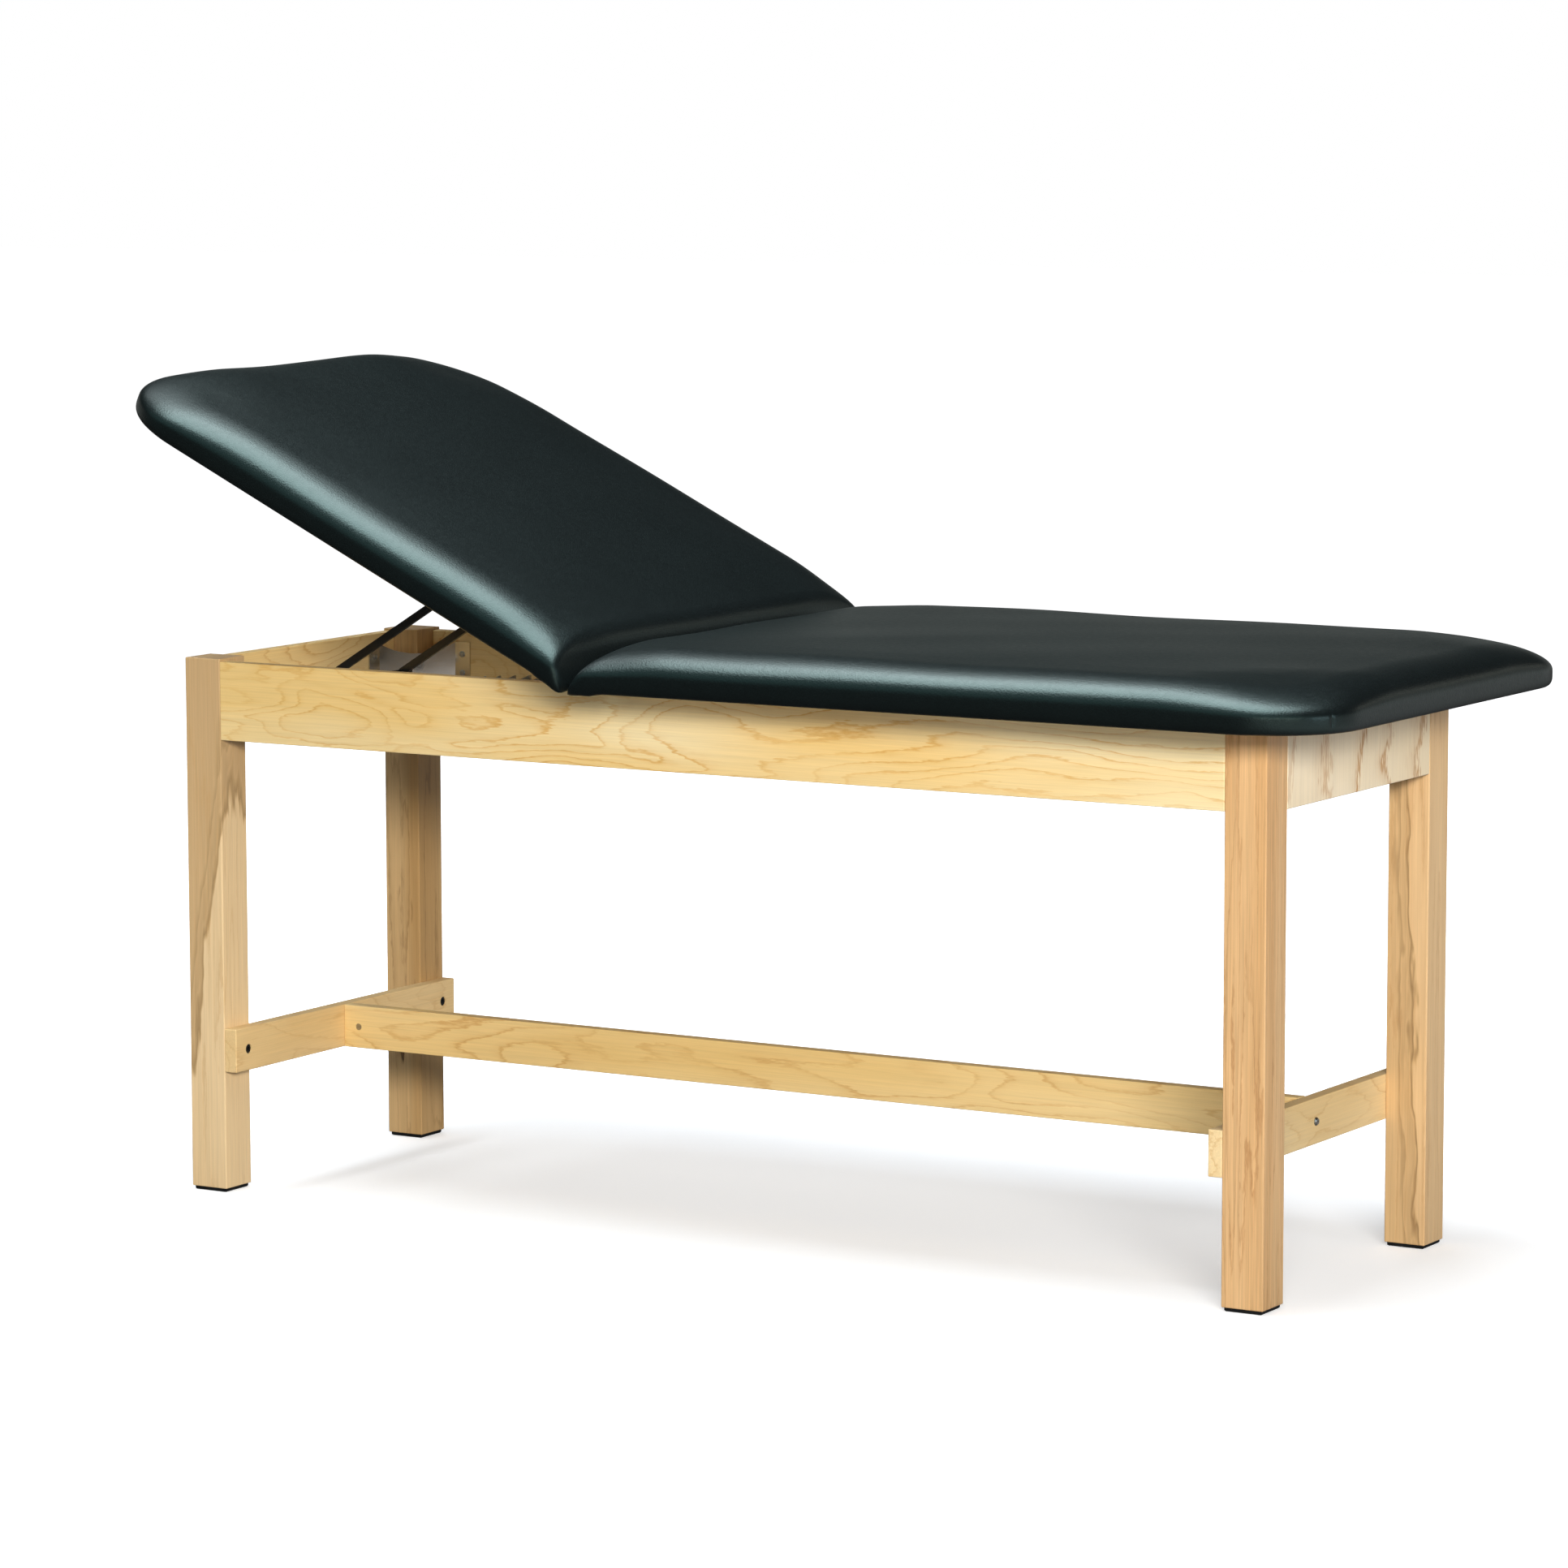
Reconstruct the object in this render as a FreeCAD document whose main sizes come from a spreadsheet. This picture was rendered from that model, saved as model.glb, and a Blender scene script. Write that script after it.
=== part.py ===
import FreeCAD, Part

import math
import os
import re

import Sketcher

# Treatment table with a lifting backrest. Millimetres and degrees, +Z up, floor at Z 0.
# X runs from the head end to the foot end, Y from the near side to the far side,
# and the origin is on the floor under the middle of the table as it stands at rest.

Vector = FreeCAD.Vector

doc = FreeCAD.newDocument("treatment_table")
book = doc.addObject("Spreadsheet::Sheet", "sizes")

# Driving sizes: one alias and its value each.
DRIVING = {
    # wooden frame
    "frame_length": 1590,
    "frame_width": 515,
    "leg_section": 56,
    "leg_length": 709,
    "rail_thickness": 18,
    "rail_depth": 104,
    "rail_drop": 3.5,
    "stretcher_thickness": 19,
    "stretcher_depth": 58,
    "stretcher_height": 163,
    "wood_round": 1.5,
    # glides under the legs
    "glide_height": 5,
    "glide_margin": 3,
    "glide_chamfer": 1.5,
    "nail_radius": 1.5,
    "nail_head_radius": 4,
    "nail_head_depth": 1.2,
    "nail_length": 22,
    # corner braces and their bolts
    "brace_sheet": 2,
    "brace_flange": 25,
    "brace_height": 60,
    "brace_top_drop": 14,
    "brace_waist_depth": 15,
    "brace_stand": 0.2,
    "corner_bolt_radius": 4,
    "corner_bolt_in_leg": 38,
    "corner_bolt_past_nut": 5,
    "corner_bolt_nut_across": 13,
    "corner_bolt_nut_height": 6.5,
    "corner_bolt_washer_radius": 9,
    "corner_bolt_washer_height": 1.6,
    "brace_screw_spread": 26,
    # stretcher fastenings
    "stretcher_bolt_radius": 3.5,
    "stretcher_bolt_head_radius": 6.5,
    "stretcher_bolt_head_height": 4,
    "stretcher_bolt_sink": 1,
    "stretcher_bolt_in_leg": 27,
    "stretcher_bolt_socket_radius": 3,
    "stretcher_bolt_socket_depth": 2.5,
    "centre_bolt_radius": 3,
    "centre_bolt_head_radius": 5.5,
    "centre_bolt_head_height": 3,
    "centre_bolt_past_barrel": 4,
    "barrel_radius": 4.5,
    "barrel_length": 14,
    "barrel_from_end": 24,
    "barrel_slot_width": 1.4,
    "barrel_slot_depth": 1.5,
    # wood screws
    "screw_radius": 2,
    "screw_head_radius": 4,
    "screw_head_height": 2.4,
    "screw_length": 14,
    "screw_drive_radius": 1.3,
    "screw_drive_depth": 1.2,
    "beam_screw_length": 50,
    # boards and cushions
    "board_gap": 0.3,
    "board_thickness": 18,
    "board_margin": 12,
    "board_setback": 20,
    "board_slack": 0.1,
    "top_past_side": 126.5,
    "top_past_foot": 126,
    "cushion_rim": 59,
    "crown_rise": 5,
    "corner_round": 118,
    "backrest_length": 791,
    "side_upright": 12,
    "side_roll": 70,
    "under_tuck": 3,
    "under_tuck_height": 4,
    # hinge line
    "hinge_from_head": 672,
    "hinge_to_rail": 11.5,
    "hinge_bevel_angle": 31,
    "hinge_bevel_height": 15,
    "hinge_nose_gap": 0.4,
    "hinge_corner_round": 6,
    "leaf_sheet": 2,
    "leaf_reach": 40,
    "leaf_span": 76,
    "leaf_screw_from_axis": 29,
    "leaf_screw_spread": 50,
    "knuckle_radius": 4.2,
    "knuckle_slack": 0.25,
    "pin_slack": 0.05,
    "hinge_pin_radius": 2.2,
    "hinge_pin_head": 1.5,
    # frame members under the backrest
    "cross_rail_from_hinge": 46,
    "beam_width": 38,
    "beam_depth": 45,
    "beam_top_height": 655,
    # backrest prop
    "rest_angle": 25.6,
    "top_angle": 60,
    "prop_length": 322,
    "prop_spread": 100,
    "bar_height": 10,
    "bar_thickness": 6,
    "prop_lean_angle": 2.4,
    "pivot_radius": 3,
    "rack_slope_angle": 4.2,
    "prop_side_gap": 0.6,
    "bracket_sheet": 2.5,
    "bracket_length": 64,
    "bracket_ear_round": 7,
    "bracket_ear_foot": 14,
    "bracket_screw_spread": 42,
    "clevis_head_radius": 5.5,
    "clevis_head_height": 2.5,
    "ring_radius": 5.5,
    "ring_height": 1.2,
    "foot_cap_radius": 6,
    "foot_cap_depth": 5,
    "foot_overhang": 8,
    # ratchet racks
    "rack_sheet": 4,
    "rack_height": 45,
    "rack_tooth_depth": 7,
    "rack_gap": 0.4,
    "rack_end_margin": 12,
    "rack_tip_flat": 1,
    "rack_screw_below": 10,
    "notches_below_rest": 3,
    # angle brackets under the body board
    "cleat_leg": 28,
    "cleat_sheet": 2,
    "cleat_width": 26,
    "cleat_first": 110,
    "cleat_last": 180,
    "cleat_screw_from_bend": 17,
    # common clearances
    "seat_slack": 0.05,
    "cut_overrun": 5,
}

# Sizes and places that follow from the driving ones.
DERIVED = {
    "half_width": "frame_width / 2",
    "half_depth_inside": "frame_width / 2 - rail_thickness",
    "hinge_spread": "half_depth_inside - hinge_to_rail - leaf_span / 2",
    "cushion_width": "frame_width + 2 * top_past_side",
    "body_length": "frame_length - hinge_from_head + top_past_foot",
    "leg_top": "glide_height + leg_length",
    "rail_top": "glide_height + leg_length - rail_drop",
    "board_bottom": "leg_top + board_gap",
    "axis_drop": "knuckle_radius + board_gap",
    "axis_height": "board_bottom - axis_drop",
    # the backrest's lowest corner reaches furthest to the head end
    "head_reach": "hinge_from_head - backrest_length * cos(rest_angle)"
                  " + (axis_drop + under_tuck_height) * sin(rest_angle)",
    "head_face": "0 - (head_reach + hinge_from_head + body_length) / 2",
    "foot_face": "head_face + frame_length",
    "hinge_line": "head_face + hinge_from_head",
    # prop: the arm is as long as its pivot is far from the hinge, so its foot runs on one line
    "pivot_drop": "axis_drop + prop_length * sin(prop_lean_angle)",
    "pivot_along": "prop_length * cos(prop_lean_angle)",
    "rest_fold": "rest_angle - prop_lean_angle + rack_slope_angle",
    "foot_at_flat": "2 * prop_length * cos(rack_slope_angle - prop_lean_angle)",
    "foot_at_rest": "2 * prop_length * cos(rest_fold)",
    "foot_at_top": "2 * prop_length * cos(top_angle - prop_lean_angle + rack_slope_angle)",
    "tooth_pitch": "(foot_at_flat - foot_at_rest) / notches_below_rest",
    "rack_tips": "pivot_radius + rack_gap",
    "arm_angle": "rest_fold + rack_slope_angle",
    "pivot_x": "hinge_line - prop_length * cos(rest_angle - prop_lean_angle)",
    "pivot_z": "axis_height + prop_length * sin(rest_angle - prop_lean_angle)",
    "foot_x": "pivot_x - prop_length * cos(arm_angle)",
    "foot_z": "pivot_z - prop_length * sin(arm_angle)",
    "stretcher_length": "frame_length - 2 * leg_section - 2 * stretcher_thickness",
    "root_two": "sqrt(2)",
    "root_three": "sqrt(3)",
    "brace_reach": "leg_section - rail_thickness",
    "brace_bend": "brace_reach + brace_stand * root_two",
    "brace_inner_bend": "brace_bend + brace_sheet * (root_two - 1)",
    "brace_mid": "rail_top - brace_top_drop - brace_height / 2",
    "cross_rail_x": "hinge_line + cross_rail_from_hinge + rail_thickness / 2",
    "beam_length": "hinge_from_head + cross_rail_from_hinge - rail_thickness",
    "bolt_height": "stretcher_height + stretcher_depth / 2",
    "hinge_pin_half": "leaf_span / 2 + knuckle_slack",
    "bracket_width": "bar_thickness + 2 * prop_side_gap + 2 * bracket_sheet",
    "clevis_stack": "bracket_width + 2 * pin_slack",
}

ALIASES = set(DRIVING) | set(DERIVED)
WORD = re.compile(r"[a-z][a-z_]*")


def fill_sheet():
    """Writes the driving sizes and the ones that follow from them, one row each."""
    row = 1
    for alias, amount in DRIVING.items():
        book.set("A%d" % row, alias)
        book.set("B%d" % row, str(amount))
        book.setAlias("B%d" % row, alias)
        row += 1
    for alias, formula in DERIVED.items():
        book.set("A%d" % row, alias)
        book.set("B%d" % row, "=" + formula)
        book.setAlias("B%d" % row, alias)
        row += 1
    doc.recompute()


def full_name(found):
    """A word of a formula as an expression needs it: an alias is named with its sheet."""
    word = found.group(0)
    return "sizes." + word if word in ALIASES else word


def bound(formula):
    """The formula with each alias named in full."""
    return WORD.sub(full_name, str(formula))


def amount(formula):
    """The present value of a formula of aliases."""
    return float(book.evalExpression(bound(formula)))


def bind(thing, prop, formula):
    thing.setExpression(prop, bound(formula))


def plus(formula, extra):
    return "(%s) + (%s)" % (formula, extra)


def negative(formula):
    return "0 - (%s)" % formula


def both_ways(formula):
    return [negative(formula), formula]


# Bodies and sketches

def new_body(label):
    body = doc.addObject("PartDesign::Body", label)
    body.Label = label
    return body


def origin_plane(body, role):
    return [feature for feature in body.Origin.OriginFeatures if feature.Role == role][0]


def new_sketch(body, name, role):
    sketch = body.newObject("Sketcher::SketchObject", name)
    sketch.AttachmentSupport = [(origin_plane(body, role), "")]
    sketch.MapMode = "FlatFace"
    return sketch


def hold(sketch, kind, number, corner, formula):
    """Ties one coordinate of a sketch point to a formula."""
    index = sketch.addConstraint(Sketcher.Constraint(kind, -1, 1, number, corner, amount(formula)))
    sketch.setExpression("Constraints[%d]" % index, bound(formula))


def polygon(sketch, points):
    """A closed outline whose corners are pairs of formulas."""
    places = [Vector(amount(across), amount(up), 0) for across, up in points]
    count = len(points)
    first = sketch.GeometryCount
    for number in range(count):
        sketch.addGeometry(Part.LineSegment(places[number], places[(number + 1) % count]), False)
    for number in range(count):
        following = first + (number + 1) % count
        sketch.addConstraint(Sketcher.Constraint("Coincident", first + number, 2, following, 1))
    for number, (across, up) in enumerate(points):
        hold(sketch, "DistanceX", first + number, 1, across)
        hold(sketch, "DistanceY", first + number, 1, up)


def rectangle(sketch, low_across, low_up, high_across, high_up):
    polygon(sketch, [(low_across, low_up), (high_across, low_up),
                     (high_across, high_up), (low_across, high_up)])


def circle(sketch, across, up, radius):
    place = Vector(amount(across), amount(up), 0)
    number = sketch.addGeometry(Part.Circle(place, Vector(0, 0, 1), amount(radius)), False)
    hold(sketch, "DistanceX", number, 3, across)
    hold(sketch, "DistanceY", number, 3, up)
    index = sketch.addConstraint(Sketcher.Constraint("Radius", number, amount(radius)))
    sketch.setExpression("Constraints[%d]" % index, bound(radius))


def pad(body, sketch, length, symmetric=True):
    feature = body.newObject("PartDesign::Pad", body.Label + "_pad")
    feature.Profile = sketch
    feature.SideType = "Symmetric" if symmetric else "One side"
    bind(feature, "Length", length)
    return feature


def pocket(body, sketch, name):
    """Cuts a sketch right through the body, both ways, and makes sure that it cut."""
    doc.recompute()
    before = body.Shape.Volume
    feature = body.newObject("PartDesign::Pocket", name)
    feature.Profile = sketch
    feature.SideType = "Symmetric"
    feature.Type = "Length"
    bind(feature, "Length", "frame_length + frame_width")
    doc.recompute()
    if not is_cut(body, before):
        raise RuntimeError(name + " cut nothing")
    return feature


def revolve(body, sketch):
    feature = body.newObject("PartDesign::Revolution", body.Label + "_turned")
    feature.Profile = sketch
    feature.ReferenceAxis = (sketch, ["V_Axis"])
    feature.Angle = 360
    return feature


def round_edges(body, base, names, radius):
    feature = body.newObject("PartDesign::Fillet", body.Label + "_round")
    feature.Base = (base, names)
    bind(feature, "Radius", radius)
    return feature


def break_edges(body, base, names, size):
    feature = body.newObject("PartDesign::Chamfer", body.Label + "_chamfer")
    feature.Base = (base, names)
    bind(feature, "Size", size)
    return feature


def all_edges(feature):
    doc.recompute()
    return ["Edge%d" % (index + 1) for index in range(len(feature.Shape.Edges))]


def upright_edges(feature):
    """The names of the edges that run along the body's own Z."""
    doc.recompute()
    names = []
    for index, edge in enumerate(feature.Shape.Edges):
        start, end = edge.Vertexes[0].Point, edge.Vertexes[-1].Point
        run = end - start
        if abs(run.z) > abs(run.x) + abs(run.y):
            names.append("Edge%d" % (index + 1))
    return names


def place(thing, across, along, up, axis=None, angle=None):
    """Ties a body's place, and its turn about one axis, to formulas."""
    if axis is not None:
        thing.Placement.Rotation = FreeCAD.Rotation(axis, amount(angle))
        bind(thing, ".Placement.Rotation.Angle", angle)
    bind(thing, ".Placement.Base.x", across)
    bind(thing, ".Placement.Base.y", along)
    bind(thing, ".Placement.Base.z", up)


def turned(axis, angle):
    """A placement at the origin, turned about one axis."""
    return FreeCAD.Placement(Vector(0, 0, 0), FreeCAD.Rotation(axis, angle))


EXPORTS = []


def keep(thing, label=None):
    """Marks a finished sub-part for export under its own name."""
    if label is not None:
        thing.Label = label
    EXPORTS.append(thing)
    return thing


AROUND_X = Vector(1, 0, 0)
AROUND_Y = Vector(0, 1, 0)
AROUND_Z = Vector(0, 0, 1)


def copies(label, master, spots):
    """One node of several equal pieces: each spot has x, y, z formulas and a rotation or none."""
    links = []
    for number, (across, along, up, turn) in enumerate(spots):
        link = doc.addObject("App::Link", "%s_%d" % (label, number + 1))
        link.LinkedObject = master
        link.LinkTransform = False
        if turn is not None:
            link.Placement = FreeCAD.Placement(Vector(0, 0, 0), turn)
        bind(link, ".Placement.Base.x", across)
        bind(link, ".Placement.Base.y", along)
        bind(link, ".Placement.Base.z", up)
        links.append(link)
    group = doc.addObject("Part::Compound", label)
    group.Links = links
    return keep(group, label)


LEAST_CUT_SHARE = 1e-7


def is_cut(body, before):
    """Whether the body has lost volume since before."""
    return body.Shape.Volume < before * (1 - LEAST_CUT_SHARE)


def drill(body, name, role, lift, holes, depth):
    """Blind round holes from the plane at lift into the body; holes are across, up, radius formulas."""
    doc.recompute()
    before = body.Shape.Volume
    sketch = new_sketch(body, name + "_marks", role)
    bind(sketch, ".AttachmentOffset.Base.z", lift)
    for across, up, radius in holes:
        circle(sketch, across, up, radius)
    feature = body.newObject("PartDesign::Pocket", name)
    feature.Profile = sketch
    bind(feature, "Length", depth)
    doc.recompute()
    if not is_cut(body, before):
        feature.Reversed = True
        doc.recompute()
    if not is_cut(body, before):
        raise RuntimeError(name + " cut nothing")
    return feature


# Wooden frame

def board(label, across, along, up):
    """A planed board centred on its own origin, with eased edges; sizes along X, Y and Z."""
    body = new_body(label)
    sketch = new_sketch(body, label + "_section", "XY_Plane")
    half_across, half_along = across + " / 2", along + " / 2"
    rectangle(sketch, negative(half_across), negative(half_along), half_across, half_along)
    solid = pad(body, sketch, up)
    round_edges(body, solid, all_edges(solid), "wood_round")
    return body


SCREW_HOLE = "screw_radius + seat_slack"


def brace_screw_heights():
    """Heights of a brace's two screws above the middle of a rail."""
    middle = "brace_mid - rail_top + rail_depth / 2"
    return [plus(middle, half) for half in both_ways("brace_screw_spread / 2")]


def make_leg(end, side, turn, hole_plane):
    """One square leg, turned so that its local +X +Y corner faces the middle of the frame."""
    label = "leg_%s_%s" % (end, side)
    body = new_body(label)
    sketch = new_sketch(body, label + "_section", "XY_Plane")
    half = "leg_section / 2"
    rectangle(sketch, negative(half), negative(half), half, half)
    solid = pad(body, sketch, "leg_length", symmetric=False)
    round_edges(body, solid, all_edges(solid), "wood_round")
    # hanger bolt hole, square to the brace, from the corner inwards
    doc.recompute()
    before = body.Shape.Volume
    marks = new_sketch(body, label + "_hanger_mark", "XZ_Plane")
    marks.AttachmentOffset = turned(AROUND_Y, HALF_TURN / 4)
    circle(marks, "0", "brace_mid - glide_height", "corner_bolt_radius + seat_slack")
    hole = body.newObject("PartDesign::Pocket", label + "_hanger_hole")
    hole.Profile = marks
    bind(hole, "Length", "leg_section")
    doc.recompute()
    if not cuts_towards_corner(body, before):
        hole.Reversed = True
        doc.recompute()
    if not cuts_towards_corner(body, before):
        marks.AttachmentOffset = turned(AROUND_Y, -HALF_TURN / 4)
        doc.recompute()
    if not cuts_towards_corner(body, before):
        hole.Reversed = False
        doc.recompute()
    if not cuts_towards_corner(body, before):
        raise RuntimeError(label + " hanger hole missed its corner")
    lift = half if hole_plane == "YZ_Plane" else negative(half)
    drill(body, label + "_stretcher_hole", hole_plane, lift,
          [("0", "bolt_height - glide_height", "stretcher_bolt_radius + seat_slack")],
          "stretcher_bolt_in_leg + seat_slack")
    drill(body, label + "_nail_hole", "XY_Plane", "0",
          [("0", "0", "nail_radius + seat_slack")], "nail_length - glide_height + glide_chamfer + seat_slack")
    across = "head_face + leg_section / 2" if end == "head" else "foot_face - leg_section / 2"
    along = "half_width - leg_section / 2"
    place(body, across, along if side == "far" else negative(along), "glide_height", AROUND_Z, turn)
    return keep(body)


def cuts_towards_corner(body, before):
    """Whether the leg's hanger hole opens at its local +X +Y corner."""
    probe = amount("leg_section / 2 - 2 * wood_round")
    height = amount("brace_mid - glide_height")
    return is_cut(body, before) and not body.Shape.isInside(
        body.Placement.multVec(Vector(probe, probe, height)), amount("seat_slack"), True)


HALF_TURN = 180
QUARTER = HALF_TURN / 2


def make_legs():
    make_leg("head", "near", "0", "YZ_Plane")
    make_leg("foot", "near", str(QUARTER), "XZ_Plane")
    make_leg("foot", "far", str(HALF_TURN), "YZ_Plane")
    make_leg("head", "far", str(HALF_TURN + QUARTER), "XZ_Plane")


LEG_SPOTS = [("head_face + leg_section / 2", negative("half_width - leg_section / 2")),
             ("head_face + leg_section / 2", "half_width - leg_section / 2"),
             ("foot_face - leg_section / 2", negative("half_width - leg_section / 2")),
             ("foot_face - leg_section / 2", "half_width - leg_section / 2")]


def make_glides():
    """Black pads nailed under the legs, a little smaller than the leg and chamfered below."""
    body = new_body("glide")
    sketch = new_sketch(body, "glide_section", "XY_Plane")
    half = "leg_section / 2 - glide_margin"
    rectangle(sketch, negative(half), negative(half), half, half)
    solid = pad(body, sketch, "glide_height", symmetric=False)
    doc.recompute()
    low = ["Edge%d" % (index + 1) for index, edge in enumerate(solid.Shape.Edges)
           if edge.BoundBox.ZMax < amount("glide_height / 2")]
    break_edges(body, solid, low, "glide_chamfer")
    drill(body, "glide_hole", "XY_Plane", "0", [("0", "0", "nail_radius + seat_slack")], "glide_height")
    drill(body, "glide_sink", "XY_Plane", "0", [("0", "0", "nail_head_radius + seat_slack")],
          "nail_head_depth + glide_chamfer")
    copies("leg_glides", body, [(across, along, "0", None) for across, along in LEG_SPOTS])

    nail = new_body("nail")
    sketch = new_sketch(nail, "nail_half", "XZ_Plane")
    polygon(sketch, [("0", "0"), ("nail_head_radius", "0"), ("nail_head_radius", "nail_head_depth"),
                     ("nail_radius", "nail_head_depth"), ("nail_radius", "nail_length - nail_radius"),
                     ("0", "nail_length")])
    revolve(nail, sketch)
    copies("glide_nails", nail, [(across, along, "glide_chamfer", None) for across, along in LEG_SPOTS])


def side_rail_marks(side):
    """Screw places on a side rail's inner face, along the rail and up from its middle."""
    middle = "(head_face + foot_face) / 2"
    ends = "frame_length / 2 - leg_section - brace_flange / 2 - brace_bend"
    marks = [(place_x, up) for place_x in both_ways(ends) for up in brace_screw_heights()]
    under_board = "board_bottom - cleat_screw_from_bend - rail_top + rail_depth / 2"
    marks += [(plus(across, negative(middle)), under_board) for across in ANGLE_PLACES]
    marks += [(plus(CROSS_ANGLE_PLACE, negative(middle)), "0")]
    return [(across, up, SCREW_HOLE) for across, up in marks]


ANGLE_PLACES = ["hinge_line + cleat_first",
                "(hinge_line + cleat_first + foot_face - cleat_last) / 2",
                "foot_face - cleat_last"]
CROSS_ANGLE_PLACE = "hinge_line + cross_rail_from_hinge + rail_thickness + cleat_screw_from_bend"


def make_rails():
    """Four rails butted between the legs, flush with the legs' outer faces."""
    wood_depth = "screw_length - cleat_sheet + seat_slack"
    for side, sign in (("near", "-1"), ("far", "1")):
        body = board("side_rail_" + side, "(frame_length - 2 * leg_section)", "rail_thickness", "rail_depth")
        # the plane's own normal points to the near side
        lift = "%s * rail_thickness / 2" % sign
        drill(body, "side_rail_%s_pilots" % side, "XZ_Plane", lift, side_rail_marks(side), wood_depth)
        place(body, "(head_face + foot_face) / 2", "%s * (half_width - rail_thickness / 2)" % sign,
              "rail_top - rail_depth / 2")
        keep(body)
    for end, sign in (("head", "-1"), ("foot", "1")):
        body = board("end_rail_" + end, "rail_thickness", "(frame_width - 2 * leg_section)", "rail_depth")
        lift = "%s * rail_thickness / 2" % ("1" if end == "head" else "-1")
        ends = "half_width - leg_section - brace_flange / 2 - brace_bend"
        marks = [(along, up, SCREW_HOLE) for along in both_ways(ends) for up in brace_screw_heights()]
        drill(body, "end_rail_%s_pilots" % end, "YZ_Plane", lift, marks, wood_depth)
        if end == "head":
            drill(body, "end_rail_head_beam_holes", "YZ_Plane", "rail_thickness / 2", BEAM_SCREW_MARKS,
                  "2 * rail_thickness")
        face = "head_face + rail_thickness / 2" if end == "head" else "foot_face - rail_thickness / 2"
        place(body, face, "0", "rail_top - rail_depth / 2")
        keep(body)


BEAM_MIDDLE = "beam_top_height - beam_depth / 2"
BEAM_SCREW_MARKS = [("0", plus(BEAM_MIDDLE + " - rail_top + rail_depth / 2", half), SCREW_HOLE)
                    for half in both_ways("beam_depth / 4")]


def bow(sketch, half_width, edge, depth, up):
    """A closed slice of a circle that bites into a straight edge, above or below the sketch's middle."""
    radius = "((%s) * (%s) / (%s) + (%s)) / 2" % (half_width, half_width, depth, depth)
    level = "%d * (%s)" % (up, edge)
    centre = "%d * ((%s) - (%s) + (%s))" % (up, edge, depth, radius)
    reach, high, middle, round_size = (amount(part) for part in (half_width, level, centre, radius))
    turn = math.asin(reach / round_size)
    towards = -up * math.pi / 2
    start, end = towards - turn, towards + turn
    circle_part = Part.Circle(Vector(0, middle, 0), Vector(0, 0, 1), round_size)
    arc = sketch.addGeometry(Part.ArcOfCircle(circle_part, start, end), False)
    chord = sketch.addGeometry(Part.LineSegment(Vector(reach, high, 0), Vector(-reach, high, 0)), False)
    first, last = (1, 2) if up > 0 else (2, 1)
    sketch.addConstraint(Sketcher.Constraint("Coincident", arc, last, chord, 1))
    sketch.addConstraint(Sketcher.Constraint("Coincident", arc, first, chord, 2))
    hold(sketch, "DistanceX", chord, 1, half_width)
    hold(sketch, "DistanceY", chord, 1, level)
    hold(sketch, "DistanceX", chord, 2, negative(half_width))
    hold(sketch, "DistanceY", chord, 2, level)
    hold(sketch, "DistanceY", arc, 3, centre)


def make_corner_braces():
    """Pressed steel braces across the four inner corners, waisted like a bow tie."""
    for end, side, turn in (("head", "near", "0"), ("foot", "near", str(QUARTER)),
                            ("foot", "far", str(HALF_TURN)), ("head", "far", str(HALF_TURN + QUARTER))):
        label = "corner_brace_%s_%s" % (end, side)
        body = new_body(label)
        # plan of the sheet, first along the end rail, then across the corner, then along the side rail
        plan = new_sketch(body, label + "_plan", "XY_Plane")
        tip = "brace_bend + brace_flange"
        outside = negative("brace_reach")
        inside = "brace_sheet - brace_reach"
        polygon(plan, [(outside, tip), (outside, "brace_bend"), ("brace_bend", outside), (tip, outside),
                       (tip, inside), ("brace_inner_bend", inside), (inside, "brace_inner_bend"),
                       (inside, tip)])
        pad(body, plan, "brace_height")
        # the edges above and below bow in between the bends, seen along the diagonal
        waist = new_sketch(body, label + "_waist", "XZ_Plane")
        waist.AttachmentOffset = turned(AROUND_Y, -QUARTER / 2)
        for up in (1, -1):
            bow(waist, "brace_reach * root_two", "brace_height / 2", "brace_waist_depth", up)
        circle(waist, "0", "0", "corner_bolt_radius + 2 * seat_slack")
        pocket(body, waist, label + "_waist_cut")
        ups = both_ways("brace_screw_spread / 2")
        marks = [("brace_bend + brace_flange / 2", up, SCREW_HOLE) for up in ups]
        across = new_sketch(body, label + "_side_holes", "XZ_Plane")
        for mark in marks:
            circle(across, *mark)
        pocket(body, across, label + "_side_screws")
        along = new_sketch(body, label + "_end_holes", "YZ_Plane")
        for mark in marks:
            circle(along, *mark)
        pocket(body, along, label + "_end_screws")
        x = "head_face + leg_section" if end == "head" else "foot_face - leg_section"
        y = "half_width - leg_section"
        place(body, x, y if side == "far" else negative(y), "brace_mid", AROUND_Z, turn)
        keep(body)


CORNERS = [("head_face + leg_section", negative("half_width - leg_section"), 0),
           ("foot_face - leg_section", negative("half_width - leg_section"), 1),
           ("foot_face - leg_section", "half_width - leg_section", 2),
           ("head_face + leg_section", "half_width - leg_section", 3)]


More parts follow.
